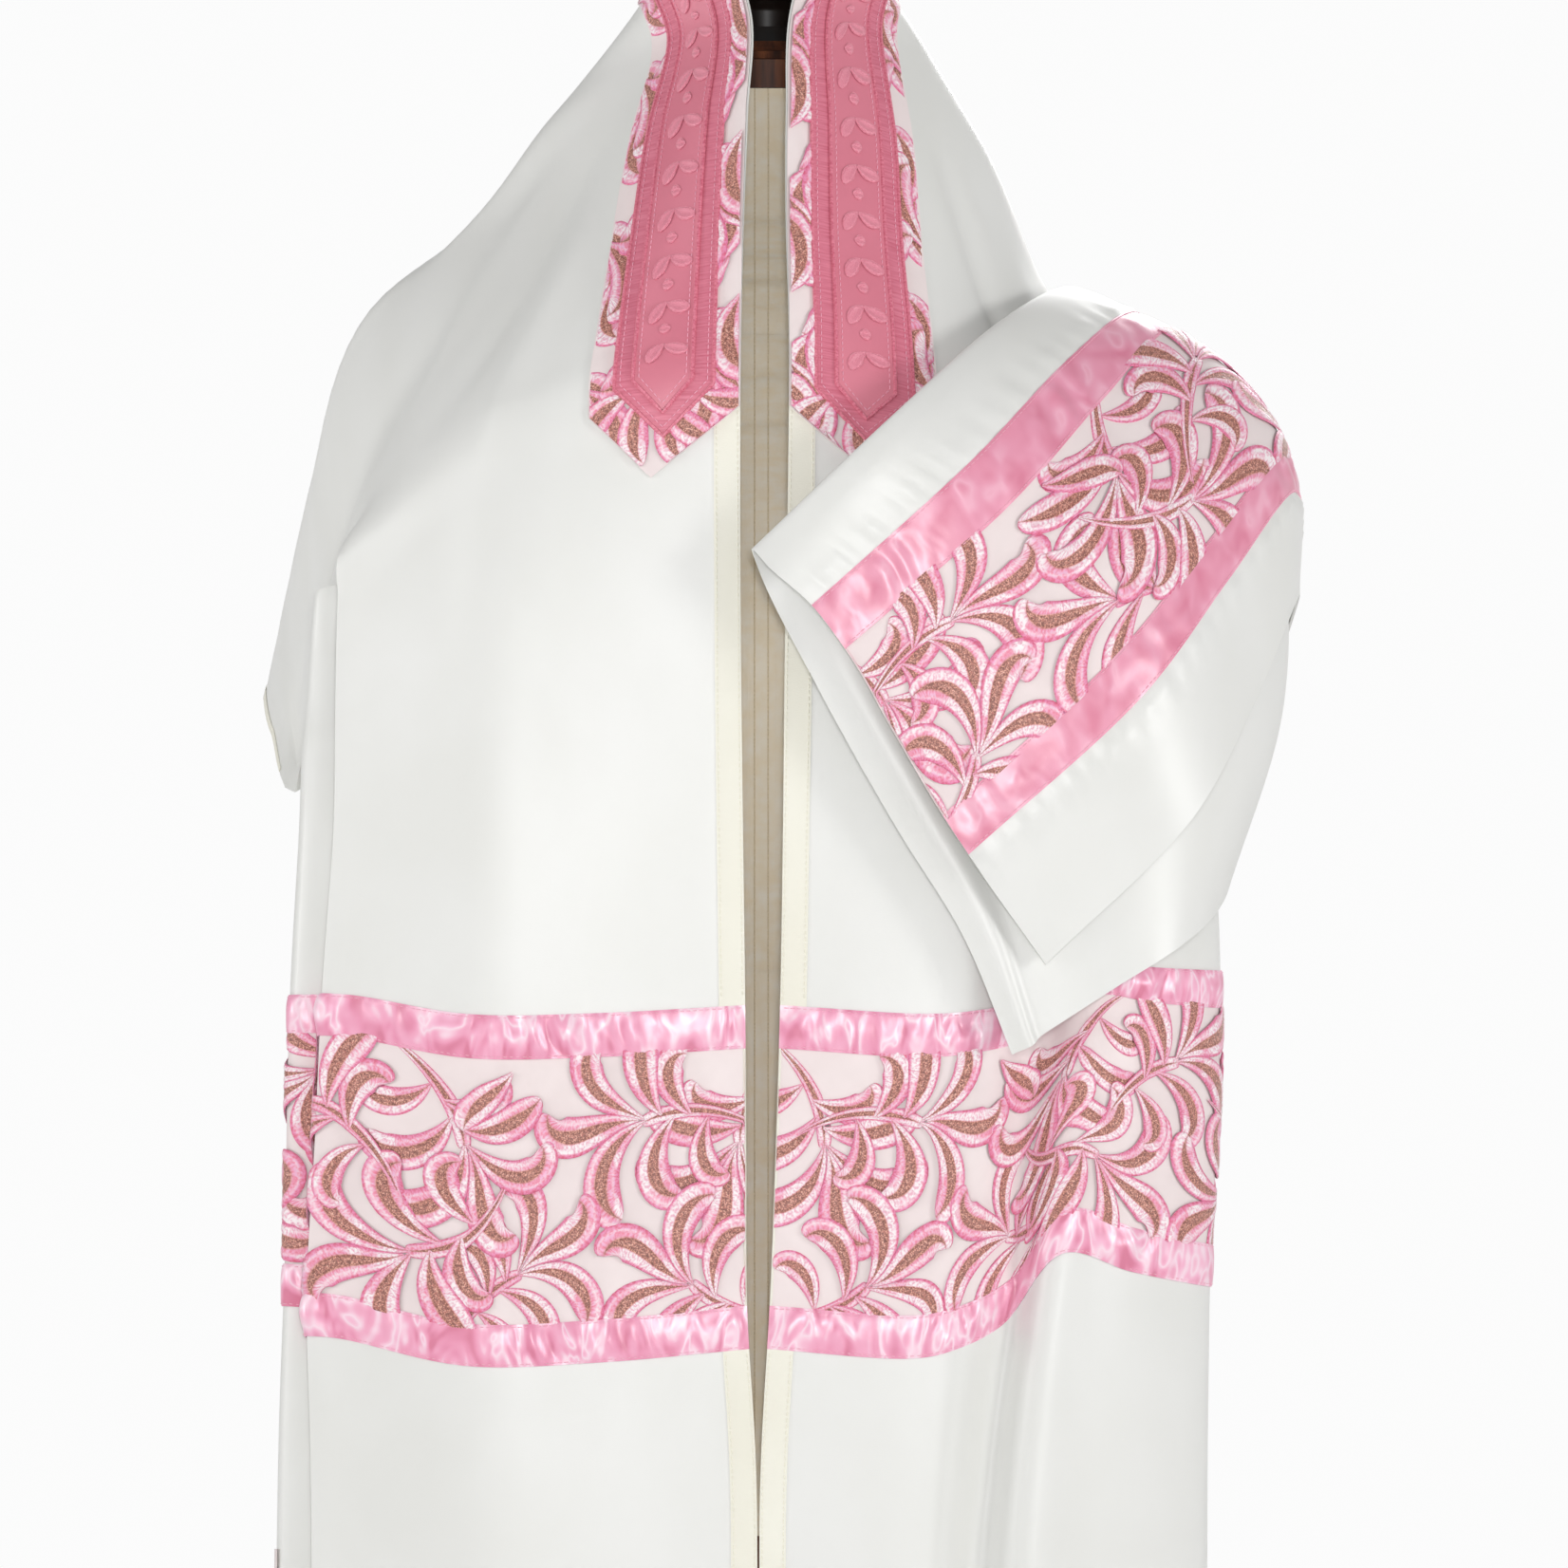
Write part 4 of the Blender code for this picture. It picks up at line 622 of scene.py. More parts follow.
# ---------------------------------------------------------------- meshes
def add_piece(name, slot, points, faces, uvs, closed=True, sharp=50, look=None):
    """A mesh object with one UV map, riding on the part's one body; closed ones get their faces turned outward."""
    mesh = bpy.data.meshes.new(name)
    mesh.from_pydata(points.tolist(), [], faces)
    corners = np.empty(len(mesh.loops), int)
    mesh.loops.foreach_get("vertex_index", corners)
    layer = mesh.uv_layers.new(name="UVMap")
    layer.data.foreach_set("uv", np.asarray(uvs, np.float32)[corners].ravel())
    if closed:
        shaped = bmesh.new()
        shaped.from_mesh(mesh)
        bmesh.ops.recalc_face_normals(shaped, faces=shaped.faces)
        shaped.to_mesh(mesh)
        shaped.free()
    mesh.shade_smooth()
    mesh.set_sharp_from_angle(angle=math.radians(sharp))
    mesh.materials.append(MATERIALS[look or slot])
    piece = bpy.data.objects.new(name, mesh)
    bpy.context.scene.collection.objects.link(piece)
    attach(piece, "root")
    return piece


def grid_faces(rows, columns, start=0):
    """Quads of a grid of points, row by row."""
    a = (start + np.arange(rows - 1)[:, None] * columns + np.arange(columns - 1)).ravel()
    return np.stack([a, a + 1, a + columns + 1, a + columns], axis=1).tolist()


def grid(runs, widths):
    """Rows of places, one for each run."""
    return np.meshgrid(np.asarray(runs, float), np.asarray(widths, float), indexing="ij")


def spaced(first, last, pitch):
    """Evenly spaced stations, close to the pitch."""
    return np.linspace(first, last, max(2, round(abs(last - first) / pitch) + 1))


def shell(name, slot, sheet, runs, widths, low, high, relief=None, look=None):
    """A closed thin shell over rows of places; relief is how far each place of the outer face stands out further."""
    rows, columns = runs.shape
    flat_runs, flat_widths = runs.ravel(), widths.ravel()
    middle, out = sheet.at(flat_runs, flat_widths), sheet.out(flat_runs, flat_widths)
    more = np.zeros(len(middle)) if relief is None else relief.ravel()
    points = np.vstack([middle + out * low, middle + out * (high + more)[:, None]])
    count = rows * columns
    faces = grid_faces(rows, columns) + grid_faces(rows, columns, count)
    index = np.arange(count).reshape(rows, columns)
    rim = [*index[0].tolist(), *index[1:, -1].tolist(), *index[-1, -2::-1].tolist(), *index[-2:0:-1, 0].tolist()]
    faces += [(a, b, count + b, count + a) for a, b in zip(rim, rim[1:] + rim[:1])]
    places = np.stack([flat_widths, flat_runs], axis=1)
    return add_piece(name, slot, points, faces, np.vstack([places, places]), look=look)


def circle(sides):
    """Evenly spaced turns round a circle."""
    return np.linspace(0, 2 * math.pi, sides, endpoint=False)


def ringed(rings, around, along, closed=False):
    """Points, faces and map of rings of points joined each to the next, with capped ends or its last to its first."""
    count, sides, _ = rings.shape
    faces = []
    for i in range(count if closed else count - 1):
        a, b = i * sides, (i + 1) % count * sides
        faces += [(a + k, a + (k + 1) % sides, b + (k + 1) % sides, b + k) for k in range(sides)]
    if not closed:
        faces += [tuple(range(sides)), tuple((count - 1) * sides + k for k in range(sides - 1, -1, -1))]
    return rings.reshape(-1, 3), faces, np.stack([np.tile(around, count), np.repeat(along, sides)], axis=1)


def tube(path, radius, sides=6):
    """A plain tube with level rings along a path."""
    rings = [path + radius * np.array((math.cos(turn), math.sin(turn), 0.0)) for turn in circle(sides)]
    return ringed(np.stack(rings, axis=1), np.arange(sides) / sides, distances(path))


def cord_along(sheet, runs, widths, lift, radius, closed=False, sides=6):
    """A thin cord laid on the cloth along a path of places."""
    path, up = sheet.raised(runs, widths, lift), sheet.out(runs, widths)
    ahead = np.roll(path, -1, axis=0) - np.roll(path, 1, axis=0)
    if not closed:
        ahead[0], ahead[-1] = path[1] - path[0], path[-1] - path[-2]
    ahead /= np.maximum(np.linalg.norm(ahead, axis=1), 1e-9)[:, None]
    side = np.cross(ahead, up)
    rings = [path + radius * (math.cos(turn) * side + math.sin(turn) * up) for turn in circle(sides)]
    return ringed(np.stack(rings, axis=1), circle(sides) / 6.3, distances(path), closed)


def joined(parts):
    """One set of points, faces and map from several."""
    faces, start = [], 0
    for points, part_faces, _ in parts:
        faces += [tuple(start + k for k in face) for face in part_faces]
        start += len(points)
    return np.vstack([part[0] for part in parts]), faces, np.vstack([part[2] for part in parts])


def stitches(sheet, runs, widths, lift):
    """A row of machine stitches along a path of places."""
    along = distances(sheet.at(runs, widths))
    lifts = lift + STITCH_RADIUS * np.array((-0.9, 0.5, 0.5, -0.9))
    parts = []
    for start in np.arange(0.001, along[-1] - STITCH_PITCH, STITCH_PITCH):
        at = start + STITCH_PITCH * STITCH_SHARE * np.array((0.0, 0.25, 0.75, 1.0))
        parts.append(cord_along(sheet, np.interp(at, along, runs), np.interp(at, along, widths), lifts, STITCH_RADIUS,
                                sides=4))
    return joined(parts)


def leaf(root, heading, length, width, bend, curl, blunt, mirror=1):
    """Places, heights and thread map of one embroidered leaf, as rows from its root to its tip."""
    t = 1 - (1 - np.linspace(0, 1, LEAF_ROWS)) ** 1.6
    turn = np.radians(heading + mirror * (bend * t + curl * t**3))
    steps = length * np.diff(t)[:, None] * np.stack([np.cos(turn), np.sin(turn)], axis=1)[:-1]
    spine = np.array(root) + np.concatenate([np.zeros((1, 2)), np.cumsum(steps, axis=0)])
    aside = np.stack([-np.sin(turn), np.cos(turn)], axis=1)
    shape = t**1.05 * (1 - t) ** blunt
    half = 0.5 * width * shape / shape.max() + LEAF_HALF
    core = np.clip(1.25 * np.sin(math.pi * t) - 0.12, 0.02, 1) * (1.0 if width > STEM else 0.02)
    places, heights, uvs = [], [], []
    for v, colour, height in LEAF_SECTION:
        v = v * core if abs(v) < 0.5 else np.full(LEAF_ROWS, v)
        places.append(spine + aside * (v * half)[:, None] * mirror)
        heights.append(height * np.clip(half / FULL_HALF, 0.25, 1))
        uvs.append(np.stack([t * length, np.full(LEAF_ROWS, colour)], axis=1))
    return np.stack(places, axis=1), np.stack(heights, axis=1), np.stack(uvs, axis=1)


def covered(places, leaf_edge):
    """Which places lie inside a leaf's outline."""
    x, y = places[:, 0, None], places[:, 1, None]
    (x0, y0), (x1, y1) = leaf_edge.T, np.roll(leaf_edge, -1, axis=0).T
    crosses = ((y0 > y) != (y1 > y)) & (x < (x1 - x0) * (y - y0) / np.where(y1 == y0, 1e-9, y1 - y0) + x0)
    return crosses.sum(axis=1) % 2 == 1


def embroidery(name, sheet, place, window, leaves, lift, slot="lace", look="embroidery", trim=None, hidden=None):
    """Leaves laid on a lace field, each later one over the earlier ones. place turns (along, across) into the sheet's
    run and width, and the leaves are cut off a little outside the window (along, along, across, across), trimmed to a
    band's end and kept flat where they are hidden under another layer."""
    sewn = []
    for row in leaves:
        places, heights, uvs = leaf(*row)
        along, across = places[..., 0], places[..., 1]
        if ((along > window[0]) & (along < window[1]) & (across > window[2]) & (across < window[3])).any():
            edge = np.vstack([places[:, 0], places[::-1, -1]])
            under = [k for k, old in enumerate(sewn)
                     if (edge.min(axis=0) < old[3].max(axis=0)).all() and (edge.max(axis=0) > old[3].min(axis=0)).all()]
            level = 0
            for k in under:
                below = covered(sewn[k][0].reshape(-1, 2), edge)
                if below.any():
                    sewn[k][1][below.reshape(sewn[k][1].shape)] = 0
                    level = max(level, sewn[k][4] + 1)
            sewn.append([places, heights, uvs, edge, level])
    parts = []
    for places, heights, uvs, _, level in sewn:
        along, across = places[..., 0].ravel(), places[..., 1].ravel()
        across_gap = np.minimum(across - window[2], window[3] - across)
        raised = LEVEL * min(level, HIGHEST) + heights.ravel() * np.clip((across_gap + FADE) / FADE, 0, 1)
        if hidden:
            raised[hidden(along, across)] = 0
        along = np.clip(along, window[0] + CUT, window[1] - CUT)
        across = np.clip(across, window[2] - PAST, window[3] + PAST)
        if trim:
            along = trim(along, across)
        points = sheet.raised(*place(along, across), lift + raised)
        parts.append((points, grid_faces(*heights.shape), uvs.reshape(-1, 2)))
    return add_piece(name, slot, *joined(parts), closed=False, sharp=80, look=look)


def sprays(rows, extra=()):
    """Rows of leaves for every spray and every single leaf."""
    leaves = []
    for along, across, heading, scale, mirror in rows:
        c, s = scale * math.cos(math.radians(heading)), scale * math.sin(math.radians(heading))
        for station, aside, turn, length, width, bend, curl, blunt in SPRAY:
            root = (along + c * station - s * mirror * aside, across + s * station + c * mirror * aside)
            leaves.append((root, heading + mirror * turn, scale * length, scale * width, bend, curl, blunt, mirror))
    for along, across, heading, length, width, bend, curl, blunt in extra:
        leaves.append(((along, across), heading, length, width, bend, curl, blunt))
    return leaves


def puckers(along, across, seed, height=0.0021):
    """Crinkles of a ribbon sewn down along both edges; across goes from 0 to 1."""
    rng = np.random.default_rng(seed)
    a, b, c, d = rng.uniform(0, 6.28, 4)
    drift = 1.7 * np.sin(along / 0.0083 + a) + 1.2 * np.sin(along / 0.0141 + b) + 1.3 * np.sin(3.1 * across + c)
    ripple = np.sin(along / 0.0031 + drift) + 0.6 * np.sin(along / 0.0049 - 2.2 * across + 1.3 * drift)
    strength = 0.55 + 0.45 * np.sin(along / 0.0173 + d)
    return height * (0.5 + 0.5 * ripple * strength) * np.sin(math.pi * np.clip(across, 0, 1)) ** 0.7


def gathers(along, away, seed, height=0.0022):
    """Small dimples of cloth beside a sewn ribbon's edge, dying out away from it."""
    rng = np.random.default_rng(seed)
    a, b, c = rng.uniform(0, 6.28, 3)
    ripple = np.sin(along / 0.0017 + 1.4 * np.sin(along / 0.0127 + a) + b) + 0.7 * np.sin(along / 0.0043 + c)
    return height * (0.6 + 0.35 * ripple) * np.exp(-((away / 0.010) ** 2)) * (away > 0)


# ---------------------------------------------------------------- materials
BLACK, WHITE = "000000", "ffffff"  # the two ends of a mask


def linear(code):
    """A linear colour from a display colour such as f4f5f2."""
    channels = [int(code[k:k + 2], 16) / 255 for k in (0, 2, 4)]
    return tuple(c / 12.92 if c <= 0.04045 else ((c + 0.055) / 1.055) ** 2.4 for c in channels) + (1.0,)


class Look:
    """A material with one Principled shader, built up node by node."""

    def __init__(self, name, roughness, **sockets):
        self.name, self.made = name, bpy.data.materials.new(name)
        self.made.use_nodes = True
        self.nodes, self.links = self.made.node_tree.nodes, self.made.node_tree.links
        self.shader = self.nodes["Principled BSDF"]
        self.shader.inputs["Roughness"].default_value = roughness
        for socket, value in sockets.items():
            self.shader.inputs[socket.replace("_", " ")].default_value = value

    def add(self, kind, inputs, **settings):
        """A node whose inputs are fed with values or with other nodes' outputs."""
        node = self.nodes.new(kind)
        for key, value in settings.items():
            setattr(node, key, value)
        for socket, value in inputs.items():
            if isinstance(value, bpy.types.NodeSocket):
                self.links.new(value, node.inputs[socket])
            else:
                node.inputs[socket].default_value = value
        return node

    def place(self, scale=(1, 1, 1), source="UV"):
        """Cloth places (width, run) in metres, or the object's own metres, times a scale."""
        where = self.add("ShaderNodeTexCoord", {})
        return self.add("ShaderNodeMapping", {"Vector": where.outputs[source], "Scale": scale}).outputs["Vector"]

    def noise(self, scale, detail, source="UV", roughness=0.55, **more):
        inputs = {"Vector": self.place(scale, source), "Scale": 1.0, "Detail": detail, "Roughness": roughness}
        return self.add("ShaderNodeTexNoise", {**inputs, **more}).outputs["Fac"]

    def ramp(self, value, *stops):
        made = self.add("ShaderNodeValToRGB", {"Fac": value})
        elements = made.color_ramp.elements
        while len(elements) < len(stops):
            elements.new(0.5)
        for element, (place, code) in zip(elements, stops):
            element.position, element.color = place, linear(code)
        return made.outputs["Color"]

    def mix(self, share, first, second, blend="MIX"):
        made = self.add("ShaderNodeMix", {0: share, 6: first, 7: second}, data_type="RGBA", blend_type=blend)
        return made.outputs[2]

    def colour(self, value):
        self.links.new(value, self.shader.inputs["Base Color"])

    def bump(self, height, strength, distance, **under):
        made = self.add("ShaderNodeBump", {"Height": height, "Strength": strength, "Distance": distance, **under})
        self.links.new(made.outputs["Normal"], self.shader.inputs["Normal"])
        return made.outputs["Normal"]


def toned(name, roughness, scale, dark, light, stops=(0.35, 0.65), detail=2.0, source="UV", bump=None, **sockets):
    """A look that drifts between two tones; bump is its own noise's scale and detail, its strength and distance."""
    look = Look(name, roughness, **sockets)
    look.colour(look.ramp(look.noise(scale, detail, source), (stops[0], dark), (stops[1], light)))
    if bump:
        bump_scale, bump_detail, strength, distance = bump
        look.bump(look.noise(bump_scale, bump_detail, source), strength, distance)
    return look


def satin(name, dark, light, roughness, weave=0.12, gloss=1.5):
    """Satin weave: long floats along the width, with a faint drift of tone."""
    return toned(name, roughness, (14, 9, 1), dark, light, bump=((420, 2600, 1), 2.0, weave, 0.0003),
                 Sheen_Weight=0.10, Sheen_Roughness=0.35, Specular_IOR_Level=0.8, IOR=gloss)


def ribbon_satin(name, scale, distortion, strength, *tones):
    """Ribbon satin whose crinkles run across it, each with a painted highlight on its light side and painted shade on
    its dark side, and a bump that follows them.
    """
    look = Look(name, 0.31, Sheen_Weight=0.10, Sheen_Roughness=0.35, Specular_IOR_Level=0.7, IOR=1.6)
    wander = look.noise((34, 50, 1), 2.0)
    folds = look.mix(0.35, look.noise(scale, 1.0, roughness=0.5, Distortion=distortion), wander)
    # The ramp's darkest tones are painted shade in the crinkles and its palest tones painted highlight on them.
    look.colour(look.ramp(folds, *tones))
    look.bump(folds, strength, 0.0022, Normal=look.bump(look.noise((420, 2600, 1), 2.0), 0.1, 0.0003))
    return look


def embroidered():
    """Glossy thread in bands of pink round a brown centre, with patches and streaks of painted highlight on the pink
    and painted glints dotted over the centre.
    """
    look = Look("embroidery", 0.40, Sheen_Weight=0.4, Sheen_Roughness=0.3)
    across = look.add("ShaderNodeSeparateXYZ", {"Vector": look.place()}).outputs["Y"]
    # Across each leaf: deep pink outline, then pink satin stitch whose lighter side (0.10 to 0.20) is partly thread
    # tone and partly painted highlight, then the brown centre.
    bands = look.ramp(
        across, (0.00, "e2769a"), (0.06, "e987a8"), (0.10, "f6b6ca"), (0.20, "fdd3e0"), (0.30, "ee95b2"),
        (0.335, "cf8f88"), (0.36, "ad8072"), (0.50, "b98f83"), (0.64, "ad8072"), (0.665, "cf8f88"),
        (0.70, "ee98b4"), (0.82, "f7b9cd"), (0.90, "e987a8"), (1.00, "e2769a"))
    floats = look.noise((900, 10, 1), 2.0)
    # Light and dark streaks across each leaf: the stitches' thread texture, with its near-white part a painted glint.
    sewn = look.mix(0.38, bands, look.ramp(floats, (0.38, "8f5a62"), (0.60, "ffffff")), "OVERLAY")
    # Patches of painted highlight: where this noise meets the pink bands masked below, the thread is mixed toward
    # near-white.
    patches = look.ramp(look.noise((60, 60, 60), 1.0, "Object"), (0.47, BLACK), (0.56, WHITE))
    highlight_bands = look.ramp(across, (0.08, BLACK), (0.12, WHITE), (0.30, WHITE), (0.335, BLACK),
                       (0.665, BLACK), (0.70, WHITE), (0.88, WHITE), (0.92, BLACK))
    # Near-white thread colour of the painted highlight patches.
    bright = look.ramp(floats, (0.38, "eeb2c6"), (0.56, "fff4f6"))
    sewn = look.mix(look.mix(1.0, patches, highlight_bands, "MULTIPLY"), sewn, bright)
    centre = look.ramp(across, (0.33, BLACK), (0.36, WHITE), (0.64, WHITE), (0.67, BLACK))
    # The brown centre's glitter: dark and mid dots are thread tone, the near-white dots painted glints.
    glitter_tone_and_glints = look.noise((1500, 1500, 1500), 1.0, "Object")
    glitter_tone_and_glints = look.ramp(glitter_tone_and_glints, (0.40, "6a4844"), (0.52, "9a8280"), (0.64, "fff4f0"))
    look.colour(look.mix(centre, sewn, look.mix(0.60, sewn, glitter_tone_and_glints, "OVERLAY")))
    look.bump(floats, 0.6, 0.0008)
    return look


def twisted_yarn():
    look = toned("fringe", 0.7, (4, 500, 1), "e6e2d4", "f8f5ea", detail=3.0, Sheen_Weight=0.3)
    twist = look.add("ShaderNodeTexWave", {"Vector": look.place((6, 420, 1)), "Scale": 1.0, "Distortion": 0.6},
                     wave_type="BANDS", bands_direction="DIAGONAL")
    look.bump(twist.outputs["Fac"], 0.6, 0.0005)
    return look


def dark_wood():
    look = Look("dark_wood", 0.50, Coat_Weight=0.08, Coat_Roughness=0.4, Specular_IOR_Level=0.2)
    grain = look.noise((160, 160, 12), 5.0, "Object", 0.6)
    look.colour(look.ramp(grain, (0.30, "2c140b"), (0.52, "562c17"), (0.70, "7a4628")))
    look.bump(grain, 0.12, 0.0005)
    return look


def make_materials():
    looks = (
        satin("ivory_satin", "e5e5e1", "e9e9e6", 0.40),
        satin("cream_binding", "edeadb", "f3f1e4", 0.50, weave=0.3),
        satin("rose_satin", "dd788d", "e8869a", 0.34, gloss=1.7),
        # Both pink ribbons: the ribbon's pink, with its darkest stops painted shade and its palest stops painted
        # highlight along the crinkles.
        ribbon_satin("pink_satin", (74, 30, 1), 1.6, 0.6, (0.35, "df7d9c"), (0.42, "ef97b7"),
                     (0.50, "f7adc9"), (0.57, "ffdfec"), (0.62, "fab8d3"), (0.70, "e98eae")),
        ribbon_satin("smooth_pink_satin", (95, 70, 1), 0.4, 0.35, (0.34, "e384a0"),
                     (0.44, "ea93ad"), (0.54, "f09fb9"), (0.62, "f8b6cb"), (0.70, "ec97b1")),
        embroidered(),
        twisted_yarn(),
        dark_wood(),
        toned("lace", 0.55, (30, 30, 1), "ecdedd", "f4e7e6", (0.3, 0.7), 3.0,
              bump=((2400, 2400, 1), 1.0, 0.15, 0.0002), Sheen_Weight=0.25),
        toned("tonal_thread", 0.30, (900, 30, 1), "de768c", "f4a0b2",
              bump=((1100, 30, 1), 2.0, 0.4, 0.0004), Sheen_Weight=0.3),
        toned("rose_ribbed", 0.34, (60, 1000, 1), "d26d83", "e4879c",
              bump=((60, 1000, 1), 2.0, 0.3, 0.0004), Sheen_Weight=0.10),
        toned("piping", 0.35, (3, 900, 1), "cf6078", "ea8ca0",
              bump=((3, 1200, 1), 2.0, 0.4, 0.0004), Sheen_Weight=0.2),
        toned("sewing_thread", 0.5, (3, 700, 1), "e9e5d2", "fbf8ea"),
        toned("pink_thread", 0.5, (3, 700, 1), "f3a0bb", "ffd6e4"),
        toned("seam_thread", 0.8, (3, 900, 1), "e2cfae", "f3e3c6"),
        toned("form_linen", 0.85, (90, 700, 90), "fcecd0", "fff6e6", (0.30, 0.70), 3.0, "Object",
              bump=((1300, 1300, 90), 1.0, 0.5, 0.0004), Sheen_Weight=0.2),
        # Knob: dark wood whose near-black tone is partly painted shade, darker than the cap's wood.
        toned("knob_wood_painted_shade", 0.45, (120, 120, 20), "0d0807", "1e120d", (0.3, 0.7), 4.0, "Object",
              Coat_Weight=0.12, Coat_Roughness=0.3),
    )
    return {look.name: look.made for look in looks}


# ---------------------------------------------------------------- the shawl
def shawl(sheet):
    """The middle cloth, and on each side the lace band and the end cloth with all that is sewn to them."""
    widths = spaced(0, SHAWL_WIDTH, CELL)

    def panel(name, node, slot, runs):
        made = shell(name, slot, sheet, *grid(runs, widths), -HALF_WALL, HALF_WALL)
        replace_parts(made, node)
        return made

    middle = panel("satin_middle", "middle_cloth", "ivory_satin", spaced(-LACE[0] + HAIR, LACE[0] - HAIR, CELL))
    on_middle = [hem_binding(sheet), *neckband(sheet)]
    for side, name in ((-1, "left"), (1, "right")):
        band = panel(f"organza_{name}", f"lace_band_{name}", "lace",
                     side * spaced(LACE[0] + HAIR, LACE[1] - HAIR, CELL))
        end = panel(f"satin_end_{name}", f"end_cloth_{name}", "ivory_satin", side * spaced(LACE[1] + HAIR, HALF, CELL))
        upper, lower = [
            ribbon(f"ribbon_{place}_{name}", "_satin", f"ribbon_{place}_{name}", sheet, side, edges, SHAWL_WIDTH,
                   {"seed": 31 if side < 0 else 57})
            for place, edges in (("upper", UPPER_RIBBON), ("lower", LOWER_RIBBON))]
        shift = 0 if side < 0 else 0.02
        leaves = embroidery(
            f"embroidery_{name}", sheet, lambda along, across: (side * (UPPER_RIBBON[1] + across), along),
            (0, SHAWL_WIDTH, 0, BAND_DEPTH),
            sprays([(along + shift, *rest) for along, *rest in BAND_SPRAYS], BAND_LEAVES), HALF_WALL)
        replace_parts(leaves, f"lace_band_{name}")
        upper_binding, lower_binding, lace_edge = neck_edge(sheet, side, name)
        on_middle += [*upper, *upper_binding]
        patches = [piece for which in TASSEL_WIDTHS for piece in patch(sheet, side, name, which)]
        strings = [tassel(sheet, side, name, which) for which in TASSEL_WIDTHS]


def ribbon(name, ending, node, sheet, side, edges, length, crinkles, look=None):
    """A puckered satin ribbon over a seam, and its two rows of stitches."""
    runs, widths = grid(side * spaced(*edges, CRINKLED_CELL[0]), spaced(0, length, CRINKLED_CELL[1]))
    relief = puckers(widths, (np.abs(runs) - edges[0]) / (edges[1] - edges[0]), **crinkles)
    made = shell(name + ending, "pink_satin", sheet, runs, widths, *RIBBON_FACES, relief, look)
    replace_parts(made, node)
    rows = []
    for edge in (edges[0] + STITCH_INSET, edges[1] - STITCH_INSET):
        places = spaced(0.001, length - 0.001, SEWN_STEP)
        rows.append(stitches(sheet, np.full(len(places), side * edge), places, RIBBON_FACES[1] + 0.0003))
    return [made, add_piece(f"{name}_stitches", "pink_satin", *joined(rows), look="pink_thread")]


def neck_edge(sheet, side, name):
    """The binding down the neck edge above and below the lace, each with its stitches, and the lace's own edge."""
    made = []
    for place, first, last in (("upper", 0.322, UPPER_RIBBON[0] + 0.001), ("lower", LOWER_RIBBON[1] - 0.001, HALF)):
        places = grid(side * spaced(first, last, CELL), spaced(0, BINDING, 0.002))
        strip = shell(f"binding_{place}_{name}_tape", "cream_binding", sheet, *places, *TAPE_FACES)
        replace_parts(strip, f"binding_{place}_{name}")
        runs = side * spaced(first + 0.002, last - 0.002, SEWN_STEP)
        rows = [stitches(sheet, runs, np.full(len(runs), width), TAPE_FACES[1] + 0.0001)
                for width in (STITCH_INSET, BINDING - STITCH_INSET)]
        made.append((strip, add_piece(f"binding_{place}_{name}_stitches", "cream_binding", *joined(rows),
                                      look="sewing_thread")))
    runs = side * spaced(UPPER_RIBBON[1], LOWER_RIBBON[0], EDGE_STEP)
    edge = cord_along(sheet, runs, np.full(len(runs), 0.0006), 0.0004, LACE_EDGE_RADIUS)
    return *made, add_piece(f"lace_edge_{name}", "cream_binding", *edge)


def hem_binding(sheet):
    """The narrow strip along the middle cloth's outer edge, over the sides and the back."""
    places = grid(spaced(*OUTER_BINDING_ENDS, CELL), spaced(SHAWL_WIDTH - OUTER_BINDING, SHAWL_WIDTH, 0.0016))
    strip = shell("hem_tape", "cream_binding", sheet, *places, *TAPE_FACES)
    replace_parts(strip, "outer_hem_binding")
    return strip


def band_end(widths, sides, corner_run, tip_run, tip_width):
    """How far a pointed band reaches at each width."""
    rise = tip_run - corner_run
    below, above = (tip_width - widths) / (tip_width - sides[0]), (widths - tip_width) / (sides[1] - tip_width)
    return tip_run - rise * np.maximum(below, above)


def band_rows(sides, corner_run, tip_run, tip_width, pitch=0.004):
    """Rows of places for a band whose two ends come to a point."""
    widths = spaced(*sides, 0.0025)
    straight = corner_run - 0.010
    end = band_end(widths, sides, corner_run, tip_run, tip_width)
    half = np.concatenate([spaced(0, straight, pitch)[:, None] * np.ones(len(widths)),
                           straight + np.linspace(0.2, 1, 5)[:, None] * (end - straight)])
    runs = np.concatenate([-half[:0:-1], half])
    return runs, np.tile(widths, (len(runs), 1))


def outline(sides, corner_run, tip_run, tip_width, inset=0.0):
    """Places round a pointed band, a little inside its edge."""
    corner = corner_run - inset * 0.6
    corners = np.array((
        (0.0, sides[0] + inset), (corner, sides[0] + inset), (tip_run - inset * 1.5, tip_width),
        (corner, sides[1] - inset), (0.0, sides[1] - inset)))
    half = []
    for start, end in zip(corners, corners[1:]):
        count = max(2, round(math.hypot(*(end - start)) / EDGE_STEP))
        half.append(start + np.linspace(0, 1, count, endpoint=False)[:, None] * (end - start))
    half = np.vstack(half)
    both = np.vstack([half, half[::-1][:-1] * (-1, 1)])
    return both[:, 0], both[:, 1]


